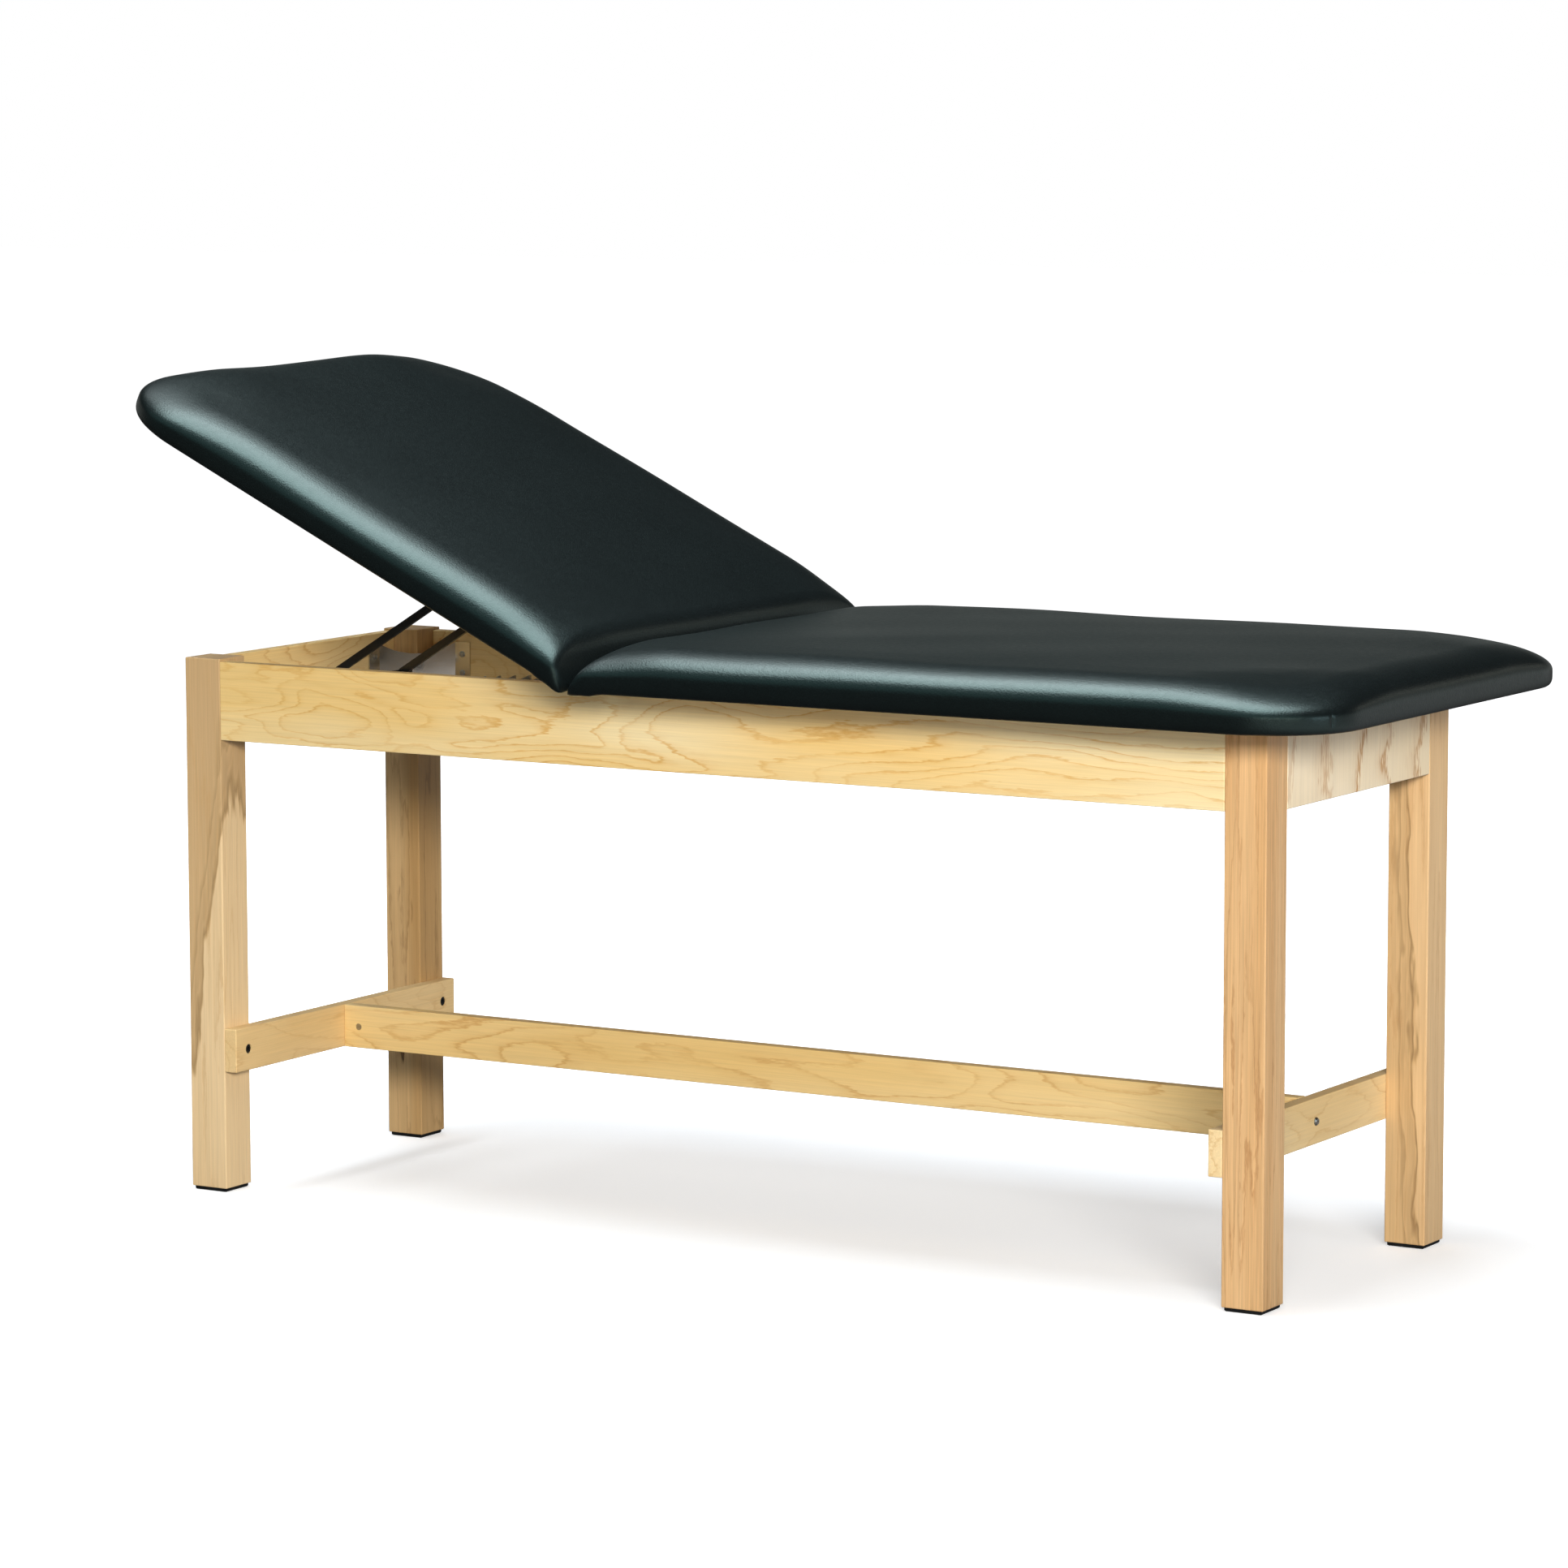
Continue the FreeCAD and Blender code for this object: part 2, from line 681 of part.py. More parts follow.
def make_brace_fastenings():
    """Hanger bolts out of the legs' corners, their washers and nuts, and the braces' wood screws."""
    bolt = new_body("hanger_bolt")
    sketch = new_sketch(bolt, "hanger_half", "XZ_Plane")
    on_brace = "brace_stand + brace_sheet"
    on_washer = on_brace + " + corner_bolt_washer_height"
    end = on_washer + " + corner_bolt_nut_height + corner_bolt_past_nut"
    polygon(sketch, [("0", "0 - corner_bolt_in_leg"),
                     ("corner_bolt_radius", "corner_bolt_radius - corner_bolt_in_leg"),
                     ("corner_bolt_radius", end + " - corner_bolt_radius / 4"),
                     ("corner_bolt_radius * 3 / 4", end), ("0", end)])
    revolve(bolt, sketch)
    washer = new_body("hanger_washer")
    ring = new_sketch(washer, "hanger_washer_ring", "XY_Plane")
    circle(ring, "0", "0", "corner_bolt_washer_radius")
    circle(ring, "0", "0", "corner_bolt_radius + seat_slack")
    pad(washer, ring, "corner_bolt_washer_height", symmetric=False)
    nut = new_body("hanger_nut")
    hexagon(nut, "corner_bolt_nut_across", "corner_bolt_nut_height", "corner_bolt_radius + seat_slack")
    spots = {"hanger_bolts": (bolt, "0"),
             "hanger_washers": (washer, on_brace),
             "hanger_nuts": (nut, on_washer)}
    for label, (master, out) in spots.items():
        places = []
        for across, along, number in CORNERS:
            heading = QUARTER / 2 + number * QUARTER
            turn = FreeCAD.Rotation(AROUND_Z, heading).multiply(FreeCAD.Rotation(AROUND_Y, QUARTER))
            step_x = 1 if number in (0, 3) else -1
            step_y = 1 if number in (0, 1) else -1
            places.append((plus(across, "%d * (%s) / root_two" % (step_x, out)),
                           plus(along, "%d * (%s) / root_two" % (step_y, out)), "brace_mid", turn))
        copies(label, master, places)
    screws = []
    for up in both_ways("brace_screw_spread / 2"):
        height = plus("brace_mid", up)
        for sign_x, face_x in ((1, "head_face"), (-1, "foot_face")):
            for sign_y in (-1, 1):
                # into the end rail
                screws.append(("%s + %d * (rail_thickness + brace_sheet)" % (face_x, sign_x),
                               "%d * (half_width - leg_section - brace_bend - brace_flange / 2)" % sign_y,
                               height, FreeCAD.Rotation(AROUND_Y, sign_x * QUARTER)))
                # into the side rail
                screws.append(("%s + %d * (leg_section + brace_bend + brace_flange / 2)" % (face_x, sign_x),
                               "%d * (half_depth_inside - brace_sheet)" % sign_y,
                               height, FreeCAD.Rotation(AROUND_X, sign_y * QUARTER)))
    copies("brace_screws", SCREWS["short"], screws)


def hexagon(body, across_flats, height, bore):
    """A hexagonal nut standing on the XY plane."""
    sketch = new_sketch(body, body.Label + "_hexagon", "XY_Plane")
    corner = across_flats + " / root_three"
    points = []
    for number in range(6):
        angle = number * HALF_TURN / 3
        points.append(("%s * cos(%g)" % (corner, angle), "%s * sin(%g)" % (corner, angle)))
    polygon(sketch, points)
    circle(sketch, "0", "0", bore)
    pad(body, sketch, height, symmetric=False)


SCREWS = {}


def make_screw_masters():
    """Pan head wood screws: the head stands on the XY plane, the shank points down."""
    for name, length in (("short", "screw_length"), ("long", "beam_screw_length")):
        body = new_body("wood_screw_" + name)
        sketch = new_sketch(body, name + "_screw_half", "XZ_Plane")
        polygon(sketch, [("0", negative(length)), ("screw_radius", "screw_radius - %s" % length),
                         ("screw_radius", "0"), ("screw_head_radius", "0"),
                         ("screw_head_radius", "screw_head_height / 2"),
                         ("screw_head_radius * 2 / 3", "screw_head_height"), ("0", "screw_head_height")])
        revolve(body, sketch)
        drill(body, name + "_screw_drive", "XY_Plane", "screw_head_height",
              [("0", "0", "screw_drive_radius")], "screw_drive_depth")
        SCREWS[name] = body


# Stretchers

def make_stretchers():
    """Two end stretchers lapped inside the legs and one centre stretcher bolted between them."""
    for end, sign in (("head", 1), ("foot", -1)):
        body = board("end_stretcher_" + end, "stretcher_thickness", "frame_width", "stretcher_depth")
        outer = "%d * stretcher_thickness / 2" % sign
        bolts = both_ways("half_width - leg_section / 2")
        drill(body, "end_stretcher_%s_sinks" % end, "YZ_Plane", outer,
              [(along, "0", "stretcher_bolt_head_radius + seat_slack") for along in bolts],
              "stretcher_bolt_head_height + stretcher_bolt_sink")
        drill(body, "end_stretcher_%s_holes" % end, "YZ_Plane", outer,
              [(along, "0", "stretcher_bolt_radius + seat_slack") for along in bolts]
              + [("0", "0", "centre_bolt_radius + seat_slack")], "2 * stretcher_thickness")
        face = "head_face + leg_section + stretcher_thickness / 2"
        if end == "foot":
            face = "foot_face - leg_section - stretcher_thickness / 2"
        place(body, face, "0", "bolt_height")
        keep(body)
    body = board("centre_stretcher", "stretcher_length", "stretcher_thickness", "stretcher_depth")
    for sign in (1, -1):
        drill(body, "centre_stretcher_bore_%s" % ("foot" if sign > 0 else "head"), "YZ_Plane",
              "%d * stretcher_length / 2" % sign, [("0", "0", "centre_bolt_radius + seat_slack")],
              "barrel_from_end + barrel_radius + centre_bolt_past_barrel + seat_slack")
    barrels = both_ways("stretcher_length / 2 - barrel_from_end")
    drill(body, "centre_stretcher_barrels", "XZ_Plane", "stretcher_thickness / 2",
          [(along, "0", "barrel_radius + seat_slack") for along in barrels], "barrel_length + seat_slack")
    place(body, "(head_face + foot_face) / 2", "0", "bolt_height")
    keep(body)


def make_stretcher_fastenings():
    """Black socket head bolts into the legs, zinc bolts and barrel nuts on the centre stretcher."""
    bolt = new_body("stretcher_bolt")
    sketch = new_sketch(bolt, "stretcher_bolt_half", "XZ_Plane")
    shank = "stretcher_thickness - stretcher_bolt_head_height - stretcher_bolt_sink + stretcher_bolt_in_leg"
    head = "stretcher_bolt_head_radius"
    high = "stretcher_bolt_head_height"
    polygon(sketch, [("0", negative(shank)), ("stretcher_bolt_radius", negative(shank)),
                     ("stretcher_bolt_radius", "0"), (head, "0"), (head, high + " * 3 / 4"),
                     (head + " - stretcher_bolt_head_height / 4", high), ("0", high)])
    revolve(bolt, sketch)
    drill(bolt, "stretcher_bolt_socket", "XY_Plane", high, [("0", "0", "stretcher_bolt_socket_radius")],
          "stretcher_bolt_socket_depth")
    seat = "leg_section + stretcher_thickness - stretcher_bolt_head_height - stretcher_bolt_sink"
    spots = []
    for along in both_ways("half_width - leg_section / 2"):
        spots.append((plus("head_face", seat), along, "bolt_height", FreeCAD.Rotation(AROUND_Y, QUARTER)))
        spots.append((plus("foot_face", negative(seat)), along, "bolt_height",
                      FreeCAD.Rotation(AROUND_Y, -QUARTER)))
    copies("stretcher_bolts", bolt, spots)

    centre = new_body("centre_bolt")
    sketch = new_sketch(centre, "centre_bolt_half", "XZ_Plane")
    shank = "stretcher_thickness + barrel_from_end + barrel_radius + centre_bolt_past_barrel"
    polygon(sketch, [("0", negative(shank)), ("centre_bolt_radius", negative(shank)),
                     ("centre_bolt_radius", "0"), ("centre_bolt_head_radius", "0"),
                     ("centre_bolt_head_radius", "centre_bolt_head_height / 3"),
                     ("centre_bolt_head_radius * 2 / 3", "centre_bolt_head_height"),
                     ("0", "centre_bolt_head_height")])
    revolve(centre, sketch)
    drill(centre, "centre_bolt_socket", "XY_Plane", "centre_bolt_head_height",
          [("0", "0", "screw_drive_radius")], "centre_bolt_head_height * 2 / 3")
    copies("centre_bolts", centre, [
        ("head_face + leg_section", "0", "bolt_height", FreeCAD.Rotation(AROUND_Y, -QUARTER)),
        ("foot_face - leg_section", "0", "bolt_height", FreeCAD.Rotation(AROUND_Y, QUARTER))])

    # the barrel lies along Y with its slot at the near face and its bore along X
    barrel = new_body("barrel_nut")
    sketch = new_sketch(barrel, "barrel_round", "XZ_Plane")
    circle(sketch, "0", "0", "barrel_radius")
    pad(barrel, sketch, "barrel_length")
    bore = new_sketch(barrel, "barrel_bore", "YZ_Plane")
    circle(bore, "(stretcher_thickness - barrel_length) / 2", "0", "centre_bolt_radius + seat_slack")
    pocket(barrel, bore, "barrel_thread")
    slot = new_sketch(barrel, "barrel_slot", "YZ_Plane")
    rectangle(slot, "0 - barrel_length", "0 - barrel_slot_width / 2",
              "barrel_slot_depth - barrel_length / 2", "barrel_slot_width / 2")
    pocket(barrel, slot, "barrel_slot_cut")
    reach = "frame_length / 2 - leg_section - stretcher_thickness - barrel_from_end"
    middle = "(head_face + foot_face) / 2"
    flush = "(barrel_length - stretcher_thickness) / 2"
    copies("barrel_nuts", barrel, [(plus(middle, along), flush, "bolt_height", None)
                                   for along in both_ways(reach)])


# Members under the backrest

def make_cross_members():
    """The cross rail beyond the hinge line and the beam that carries the ratchet racks."""
    body = board("cross_rail", "rail_thickness", "(2 * half_depth_inside)", "rail_depth")
    drill(body, "cross_rail_beam_holes", "YZ_Plane", "rail_thickness / 2", BEAM_SCREW_MARKS,
          "2 * rail_thickness")
    reach = "half_depth_inside - cleat_screw_from_bend"
    drill(body, "cross_rail_pilots", "YZ_Plane", "rail_thickness / 2",
          [(along, "0", SCREW_HOLE) for along in both_ways(reach)],
          "screw_length - cleat_sheet + seat_slack")
    place(body, "cross_rail_x", "0", "rail_top - rail_depth / 2")
    keep(body)

    beam = board("rack_beam", "beam_length", "beam_width", "beam_depth")
    for sign, end in ((1, "foot"), (-1, "head")):
        drill(beam, "rack_beam_pilots_" + end, "YZ_Plane", "%d * beam_length / 2" % sign,
              [("0", half, SCREW_HOLE) for half in both_ways("beam_depth / 4")],
              "beam_screw_length - rail_thickness + seat_slack")
    middle = "head_face + rail_thickness + beam_length / 2"
    for sign, side in ((1, "near"), (-1, "far")):
        drill(beam, "rack_beam_pilots_" + side, "XZ_Plane", "%d * beam_width / 2" % sign,
              [(plus(rack_screw_x(along), negative(middle)),
                "beam_depth / 2 - rack_screw_below", SCREW_HOLE) for along in RACK_SCREW_PLACES],
              "screw_length - rack_sheet + seat_slack")
    place(beam, middle, "0", BEAM_MIDDLE)
    keep(beam)


RACK_SCREW_PLACES = ["foot_at_top + rack_end_margin",
                     "(foot_at_top + foot_at_flat) / 2",
                     "foot_at_flat - rack_end_margin"]


def rack_screw_up(along):
    """Height of a rack screw over the foot's line, square to it, at a place along that line."""
    drop = "beam_top_height - rack_screw_below - axis_height"
    return "(%s + (%s) * sin(rack_slope_angle)) / cos(rack_slope_angle)" % (drop, along)


def rack_screw_x(along):
    """X of a rack screw, from its place along the foot's line."""
    up = rack_screw_up(along)
    return "hinge_line - (%s) * cos(rack_slope_angle) - (%s) * sin(rack_slope_angle)" % (along, up)


def make_racks():
    """Steel ratchet racks on both sides of the beam; their tooth tips run just under the foot rod."""
    for side, sign in (("near", "-1"), ("far", "1")):
        label = "ratchet_rack_" + side
        body = new_body(label)
        sketch = new_sketch(body, label + "_outline", "XZ_Plane")
        head_end = "0 - foot_at_flat - rack_end_margin"
        foot_end = "0 - foot_at_top + rack_end_margin"
        rectangle(sketch, head_end, "0 - rack_tips - rack_height", foot_end, "0 - rack_tips")
        pad(body, sketch, "rack_sheet")
        # each notch has a steep wall to the head side and a ramp up to the next tip
        notch = new_sketch(body, label + "_notch", "XZ_Plane")
        wall = "0 - foot_at_flat - pivot_radius"
        floor = "0 - rack_tips - rack_tooth_depth"
        polygon(notch, [(wall, "0"), (wall, floor + " + rack_tooth_depth / 3"),
                        (wall + " + rack_tooth_depth / 3", floor),
                        ("0 - foot_at_flat + pivot_radius / 2", floor),
                        ("tooth_pitch - foot_at_flat - pivot_radius - rack_tip_flat", "0 - rack_tips"),
                        ("tooth_pitch - foot_at_flat - pivot_radius - rack_tip_flat", "0")])
        cut = pocket(body, notch, label + "_notch_cut")
        row = body.newObject("PartDesign::LinearPattern", label + "_notches")
        row.Originals = [cut]
        row.Direction = (notch, ["H_Axis"])
        bind(row, "Occurrences", "floor((foot_at_flat - foot_at_top) / tooth_pitch) + 1")
        bind(row, "Length", "floor((foot_at_flat - foot_at_top) / tooth_pitch) * tooth_pitch")
        body.Tip = row
        holes = new_sketch(body, label + "_holes", "XZ_Plane")
        for along in RACK_SCREW_PLACES:
            circle(holes, negative(along), rack_screw_up(along), SCREW_HOLE)
        pocket(body, holes, label + "_screw_holes")
        place(body, "hinge_line", "%s * (beam_width + rack_sheet) / 2" % sign, "axis_height",
              AROUND_Y, "0 - rack_slope_angle")
        keep(body)
    spots = []
    for along in RACK_SCREW_PLACES:
        for sign in (-1, 1):
            spots.append((rack_screw_x(along), "%d * (beam_width / 2 + rack_sheet)" % sign,
                          "beam_top_height - rack_screw_below", FreeCAD.Rotation(AROUND_X, -sign * QUARTER)))
    copies("rack_screws", SCREWS["short"], spots)
    copies("beam_screws", SCREWS["long"], [
        (across, "0", plus(BEAM_MIDDLE, half), FreeCAD.Rotation(AROUND_Y, turn))
        for half in both_ways("beam_depth / 4")
        for across, turn in (("head_face", -QUARTER), ("cross_rail_x + rail_thickness / 2", QUARTER))])


# Angle brackets

def make_angles():
    """Folded steel angles: three under each long edge of the body board, one at each cross rail end."""
    body = new_body("angle_bracket")
    sketch = new_sketch(body, "angle_profile", "YZ_Plane")
    # one leg lies along Y under the board, the other hangs down the rail
    polygon(sketch, [("0", "0"), ("cleat_leg", "0"), ("cleat_leg", "0 - cleat_sheet"),
                     ("cleat_sheet", "0 - cleat_sheet"), ("cleat_sheet", "0 - cleat_leg"),
                     ("0", "0 - cleat_leg")])
    pad(body, sketch, "cleat_width")
    flat = new_sketch(body, "angle_flat_hole", "XY_Plane")
    circle(flat, "0", "cleat_screw_from_bend", SCREW_HOLE)
    pocket(body, flat, "angle_flat_cut")
    upright = new_sketch(body, "angle_upright_hole", "XZ_Plane")
    circle(upright, "0", "0 - cleat_screw_from_bend", SCREW_HOLE)
    pocket(body, upright, "angle_upright_cut")
    spots = []
    screws = []
    into_board = FreeCAD.Rotation(AROUND_X, HALF_TURN)
    for across in ANGLE_PLACES:
        for sign in (-1, 1):
            turn = FreeCAD.Rotation(AROUND_Z, 0 if sign < 0 else HALF_TURN)
            spots.append((across, "%d * half_depth_inside" % sign, "board_bottom", turn))
            screws.append((across, "%d * (half_depth_inside - cleat_screw_from_bend)" % sign,
                           "board_bottom - cleat_sheet", into_board))
            screws.append((across, "%d * (half_depth_inside - cleat_sheet)" % sign,
                           "board_bottom - cleat_screw_from_bend", FreeCAD.Rotation(AROUND_X, sign * QUARTER)))
    face = "cross_rail_x + rail_thickness / 2"
    middle = "rail_top - rail_depth / 2"
    for sign in (-1, 1):
        # turned on its side: one leg on the cross rail, one on the side rail
        turn = FreeCAD.Rotation(AROUND_Y, -QUARTER)
        if sign > 0:
            turn = FreeCAD.Rotation(AROUND_X, HALF_TURN).multiply(turn)
        spots.append((face, "%d * half_depth_inside" % sign, middle, turn))
        screws.append((plus(face, "cleat_sheet"), "%d * (half_depth_inside - cleat_screw_from_bend)" % sign,
                       middle, FreeCAD.Rotation(AROUND_Y, QUARTER)))
        screws.append((plus(face, "cleat_screw_from_bend"), "%d * (half_depth_inside - cleat_sheet)" % sign,
                       middle, FreeCAD.Rotation(AROUND_X, sign * QUARTER)))
    copies("angle_brackets", body, spots)
    copies("angle_screws", SCREWS["short"], screws)


# Boards and hinges

LEAF_SCREWS = ["(%s) * leaf_screw_spread / 2" % share for share in ("-1", "0", "1")]


def leaf_screw_marks(direction):
    return [("%d * leaf_screw_from_axis" % direction, plus("%d * hinge_spread" % side, along))
            for side in (-1, 1) for along in LEAF_SCREWS]


def make_boards():
    """Plywood boards with rounded outer corners, hidden in the cushions' undersides."""
    half = "cushion_width / 2 - board_margin"
    wood = "screw_length - leaf_sheet + seat_slack"
    for label, sign, length in (("body_board", 1, "body_length"), ("backrest_board", -1, "backrest_length")):
        body = new_body(label)
        sketch = new_sketch(body, label + "_plan", "XY_Plane")
        inner = "%d * board_setback" % sign
        outer = "%d * (%s - board_margin)" % (sign, length)
        rectangle(sketch, inner, negative(half), outer, half)
        solid = pad(body, sketch, "board_thickness", symmetric=False)
        corners = [name for name in upright_edges(solid)
                   if abs(solid.Shape.getElement(name).BoundBox.XMin) > amount("2 * board_setback")]
        round_edges(body, solid, corners, "corner_round - board_margin")
        marks = [(across, along, SCREW_HOLE) for across, along in leaf_screw_marks(sign)]
        if sign > 0:
            marks += [(plus(across, "0 - hinge_line"),
                       "%d * (half_depth_inside - cleat_screw_from_bend)" % side, SCREW_HOLE)
                      for across in ANGLE_PLACES for side in (-1, 1)]
            place(body, "hinge_line", "0", "board_bottom")
        else:
            marks += [("0 - pivot_along + %d * bracket_screw_spread / 2" % way,
                       "%d * prop_spread" % side, SCREW_HOLE) for way in (-1, 1) for side in (-1, 1)]
        drill(body, label + "_pilots", "XY_Plane", "0", marks, wood)
        if sign < 0:
            place(body, "hinge_line + axis_drop * sin(rest_angle)", "0",
                  "axis_height + axis_drop * cos(rest_angle)", AROUND_Y, "rest_angle")
        keep(body)


def make_hinges():
    """Two butt hinges under the boards, five knuckles each: three on the body leaf, two on the other."""
    segment = "leaf_span / 5"
    for leaf, sign, cut in (("body", 1, (1, 3)), ("backrest", -1, (0, 2, 4))):
        for side, where in (("near", -1), ("far", 1)):
            label = "hinge_leaf_%s_%s" % (leaf, side)
            body = new_body(label)
            plate = new_sketch(body, label + "_plate", "XZ_Plane")
            rectangle(plate, "0", "axis_drop - leaf_sheet", "%d * leaf_reach" % sign, "axis_drop")
            pad(body, plate, "leaf_span")
            knuckle = new_sketch(body, label + "_knuckle", "XZ_Plane")
            circle(knuckle, "0", "0", "knuckle_radius")
            pad(body, knuckle, "leaf_span")
            gaps = new_sketch(body, label + "_gaps", "XY_Plane")
            for number in cut:
                low = "%s * %g - knuckle_slack" % (segment, number - 2.5)
                high = "%s * %g + knuckle_slack" % (segment, number - 1.5)
                if number == 0:
                    low = "0 - leaf_span"
                if number == 4:
                    high = "leaf_span"
                rectangle(gaps, "%d * (0 - 2 * knuckle_radius)" % sign, low,
                          "%d * (knuckle_radius + 3 * knuckle_slack)" % sign, high)
            pocket(body, gaps, label + "_gap_cut")
            bore = new_sketch(body, label + "_bore", "XZ_Plane")
            circle(bore, "0", "0", "hinge_pin_radius + pin_slack")
            pocket(body, bore, label + "_bore_cut")
            holes = new_sketch(body, label + "_holes", "XY_Plane")
            for along in LEAF_SCREWS:
                circle(holes, "%d * leaf_screw_from_axis" % sign, along, SCREW_HOLE)
            pocket(body, holes, label + "_hole_cut")
            turn = "0" if sign > 0 else "rest_angle"
            place(body, "hinge_line", "%d * hinge_spread" % where, "axis_height", AROUND_Y, turn)
            keep(body)

    pin = new_body("hinge_pin")
    sketch = new_sketch(pin, "hinge_pin_section", "XZ_Plane")
    wide = "knuckle_radius - 2 * knuckle_slack"
    inner = "hinge_pin_half"
    outer = "hinge_pin_half + hinge_pin_head"
    polygon(sketch, [("0", negative(outer)), (wide, negative(outer)), (wide, negative(inner)),
                     ("hinge_pin_radius", negative(inner)), ("hinge_pin_radius", inner),
                     (wide, inner), (wide, outer), ("0", outer)])
    revolve(pin, sketch)
    lie = FreeCAD.Rotation(AROUND_X, QUARTER)
    copies("hinge_pins", pin, [("hinge_line", "%d * hinge_spread" % side, "axis_height", lie)
                               for side in (-1, 1)])

    up = FreeCAD.Rotation(AROUND_X, HALF_TURN)
    copies("body_hinge_screws", SCREWS["short"], [
        (plus("hinge_line", across), along, "board_bottom - leaf_sheet", up)
        for across, along in leaf_screw_marks(1)])
    copies("backrest_hinge_screws", SCREWS["short"], [
        on_backrest(across, along, "axis_drop - leaf_sheet", up) for across, along in leaf_screw_marks(-1)])


def on_backrest(across, along, up, turn):
    """A spot given along and square to the backrest, seen from the hinge axis, as a world spot."""
    tilt = FreeCAD.Rotation(AROUND_Y, amount("rest_angle"))
    return ("hinge_line + (%s) * cos(rest_angle) + (%s) * sin(rest_angle)" % (across, up), along,
            "axis_height - (%s) * sin(rest_angle) + (%s) * cos(rest_angle)" % (across, up), tilt.multiply(turn))


# Prop under the backrest

def make_prop_brackets():
    """Channel brackets under the backrest board whose tapered ears carry the arms' clevis pins."""
    up = "axis_drop"
    pivot_up = "axis_drop - pivot_drop"
    for side, where in (("near", -1), ("far", 1)):
        label = "prop_bracket_" + side
        body = new_body(label)
        ear = new_sketch(body, label + "_ear", "XZ_Plane")
        polygon(ear, [("bracket_length / 2", up), ("bracket_length / 2", up + " - bracket_sheet"),
                      ("bracket_ear_foot", up + " - bracket_sheet"), ("bracket_ear_round", pivot_up),
                      ("0 - bracket_ear_round", pivot_up), ("0 - bracket_ear_foot", up + " - bracket_sheet"),
                      ("0 - bracket_length / 2", up + " - bracket_sheet"), ("0 - bracket_length / 2", up)])
        pad(body, ear, "bracket_width")
        nose = new_sketch(body, label + "_nose", "XZ_Plane")
        circle(nose, "0", pivot_up, "bracket_ear_round")
        pad(body, nose, "bracket_width")
        channel = new_sketch(body, label + "_channel", "YZ_Plane")
        wide = "bar_thickness / 2 + prop_side_gap"
        rectangle(channel, negative(wide), pivot_up + " - 2 * bracket_ear_round",
                  wide, up + " - bracket_sheet")
        pocket(body, channel, label + "_channel_cut")
        bore = new_sketch(body, label + "_bore", "XZ_Plane")
        circle(bore, "0", pivot_up, "pivot_radius + seat_slack")
        pocket(body, bore, label + "_bore_cut")
        holes = new_sketch(body, label + "_holes", "XY_Plane")
        for across in both_ways("bracket_screw_spread / 2"):
            circle(holes, across, "0", SCREW_HOLE)
        pocket(body, holes, label + "_hole_cut")
        place(body, "hinge_line - pivot_along * cos(rest_angle)", "%d * prop_spread" % where,
              "axis_height + pivot_along * sin(rest_angle)", AROUND_Y, "rest_angle")
        keep(body)
    turn = FreeCAD.Rotation(AROUND_X, HALF_TURN)
    copies("prop_bracket_screws", SCREWS["short"], [
        on_backrest("0 - pivot_along + %s" % way, "%d * prop_spread" % side, "axis_drop - bracket_sheet", turn)
        for way in ("bracket_screw_spread / 2", "(0 - bracket_screw_spread) / 2") for side in (-1, 1)])

    pin = new_body("clevis_pin")
    sketch = new_sketch(pin, "clevis_half", "XZ_Plane")
    groove = "pivot_radius * 3 / 4"
    groove_top = negative("clevis_stack")
    groove_low = negative("clevis_stack + ring_height + pin_slack")
    tip = negative("clevis_stack + 3 * ring_height")
    polygon(sketch, [("0", "clevis_head_height"), ("0", tip), ("pivot_radius", tip),
                     ("pivot_radius", groove_low), (groove, groove_low), (groove, groove_top),
                     ("pivot_radius", groove_top), ("pivot_radius", "0"), ("clevis_head_radius", "0"),
                     ("clevis_head_radius", "clevis_head_height")])
    revolve(pin, sketch)
    ring = new_body("retaining_ring")
    sketch = new_sketch(ring, "ring_section", "XY_Plane")
    circle(sketch, "0", "0", "ring_radius")
    circle(sketch, "0", "0", groove + " + seat_slack")
    pad(ring, sketch, "ring_height", symmetric=False)
    half = "clevis_stack / 2"
    pins = []
    rings = []
    for side in (-1, 1):
        turn = FreeCAD.Rotation(AROUND_X, -side * QUARTER)
        pins.append(("pivot_x", "%d * (prop_spread + %s)" % (side, half), "pivot_z", turn))
        rings.append(("pivot_x", "%d * (prop_spread - %s)" % (side, half), "pivot_z",
                      FreeCAD.Rotation(AROUND_X, side * QUARTER)))
    copies("clevis_pins", pin, pins)
    copies("retaining_rings", ring, rings)


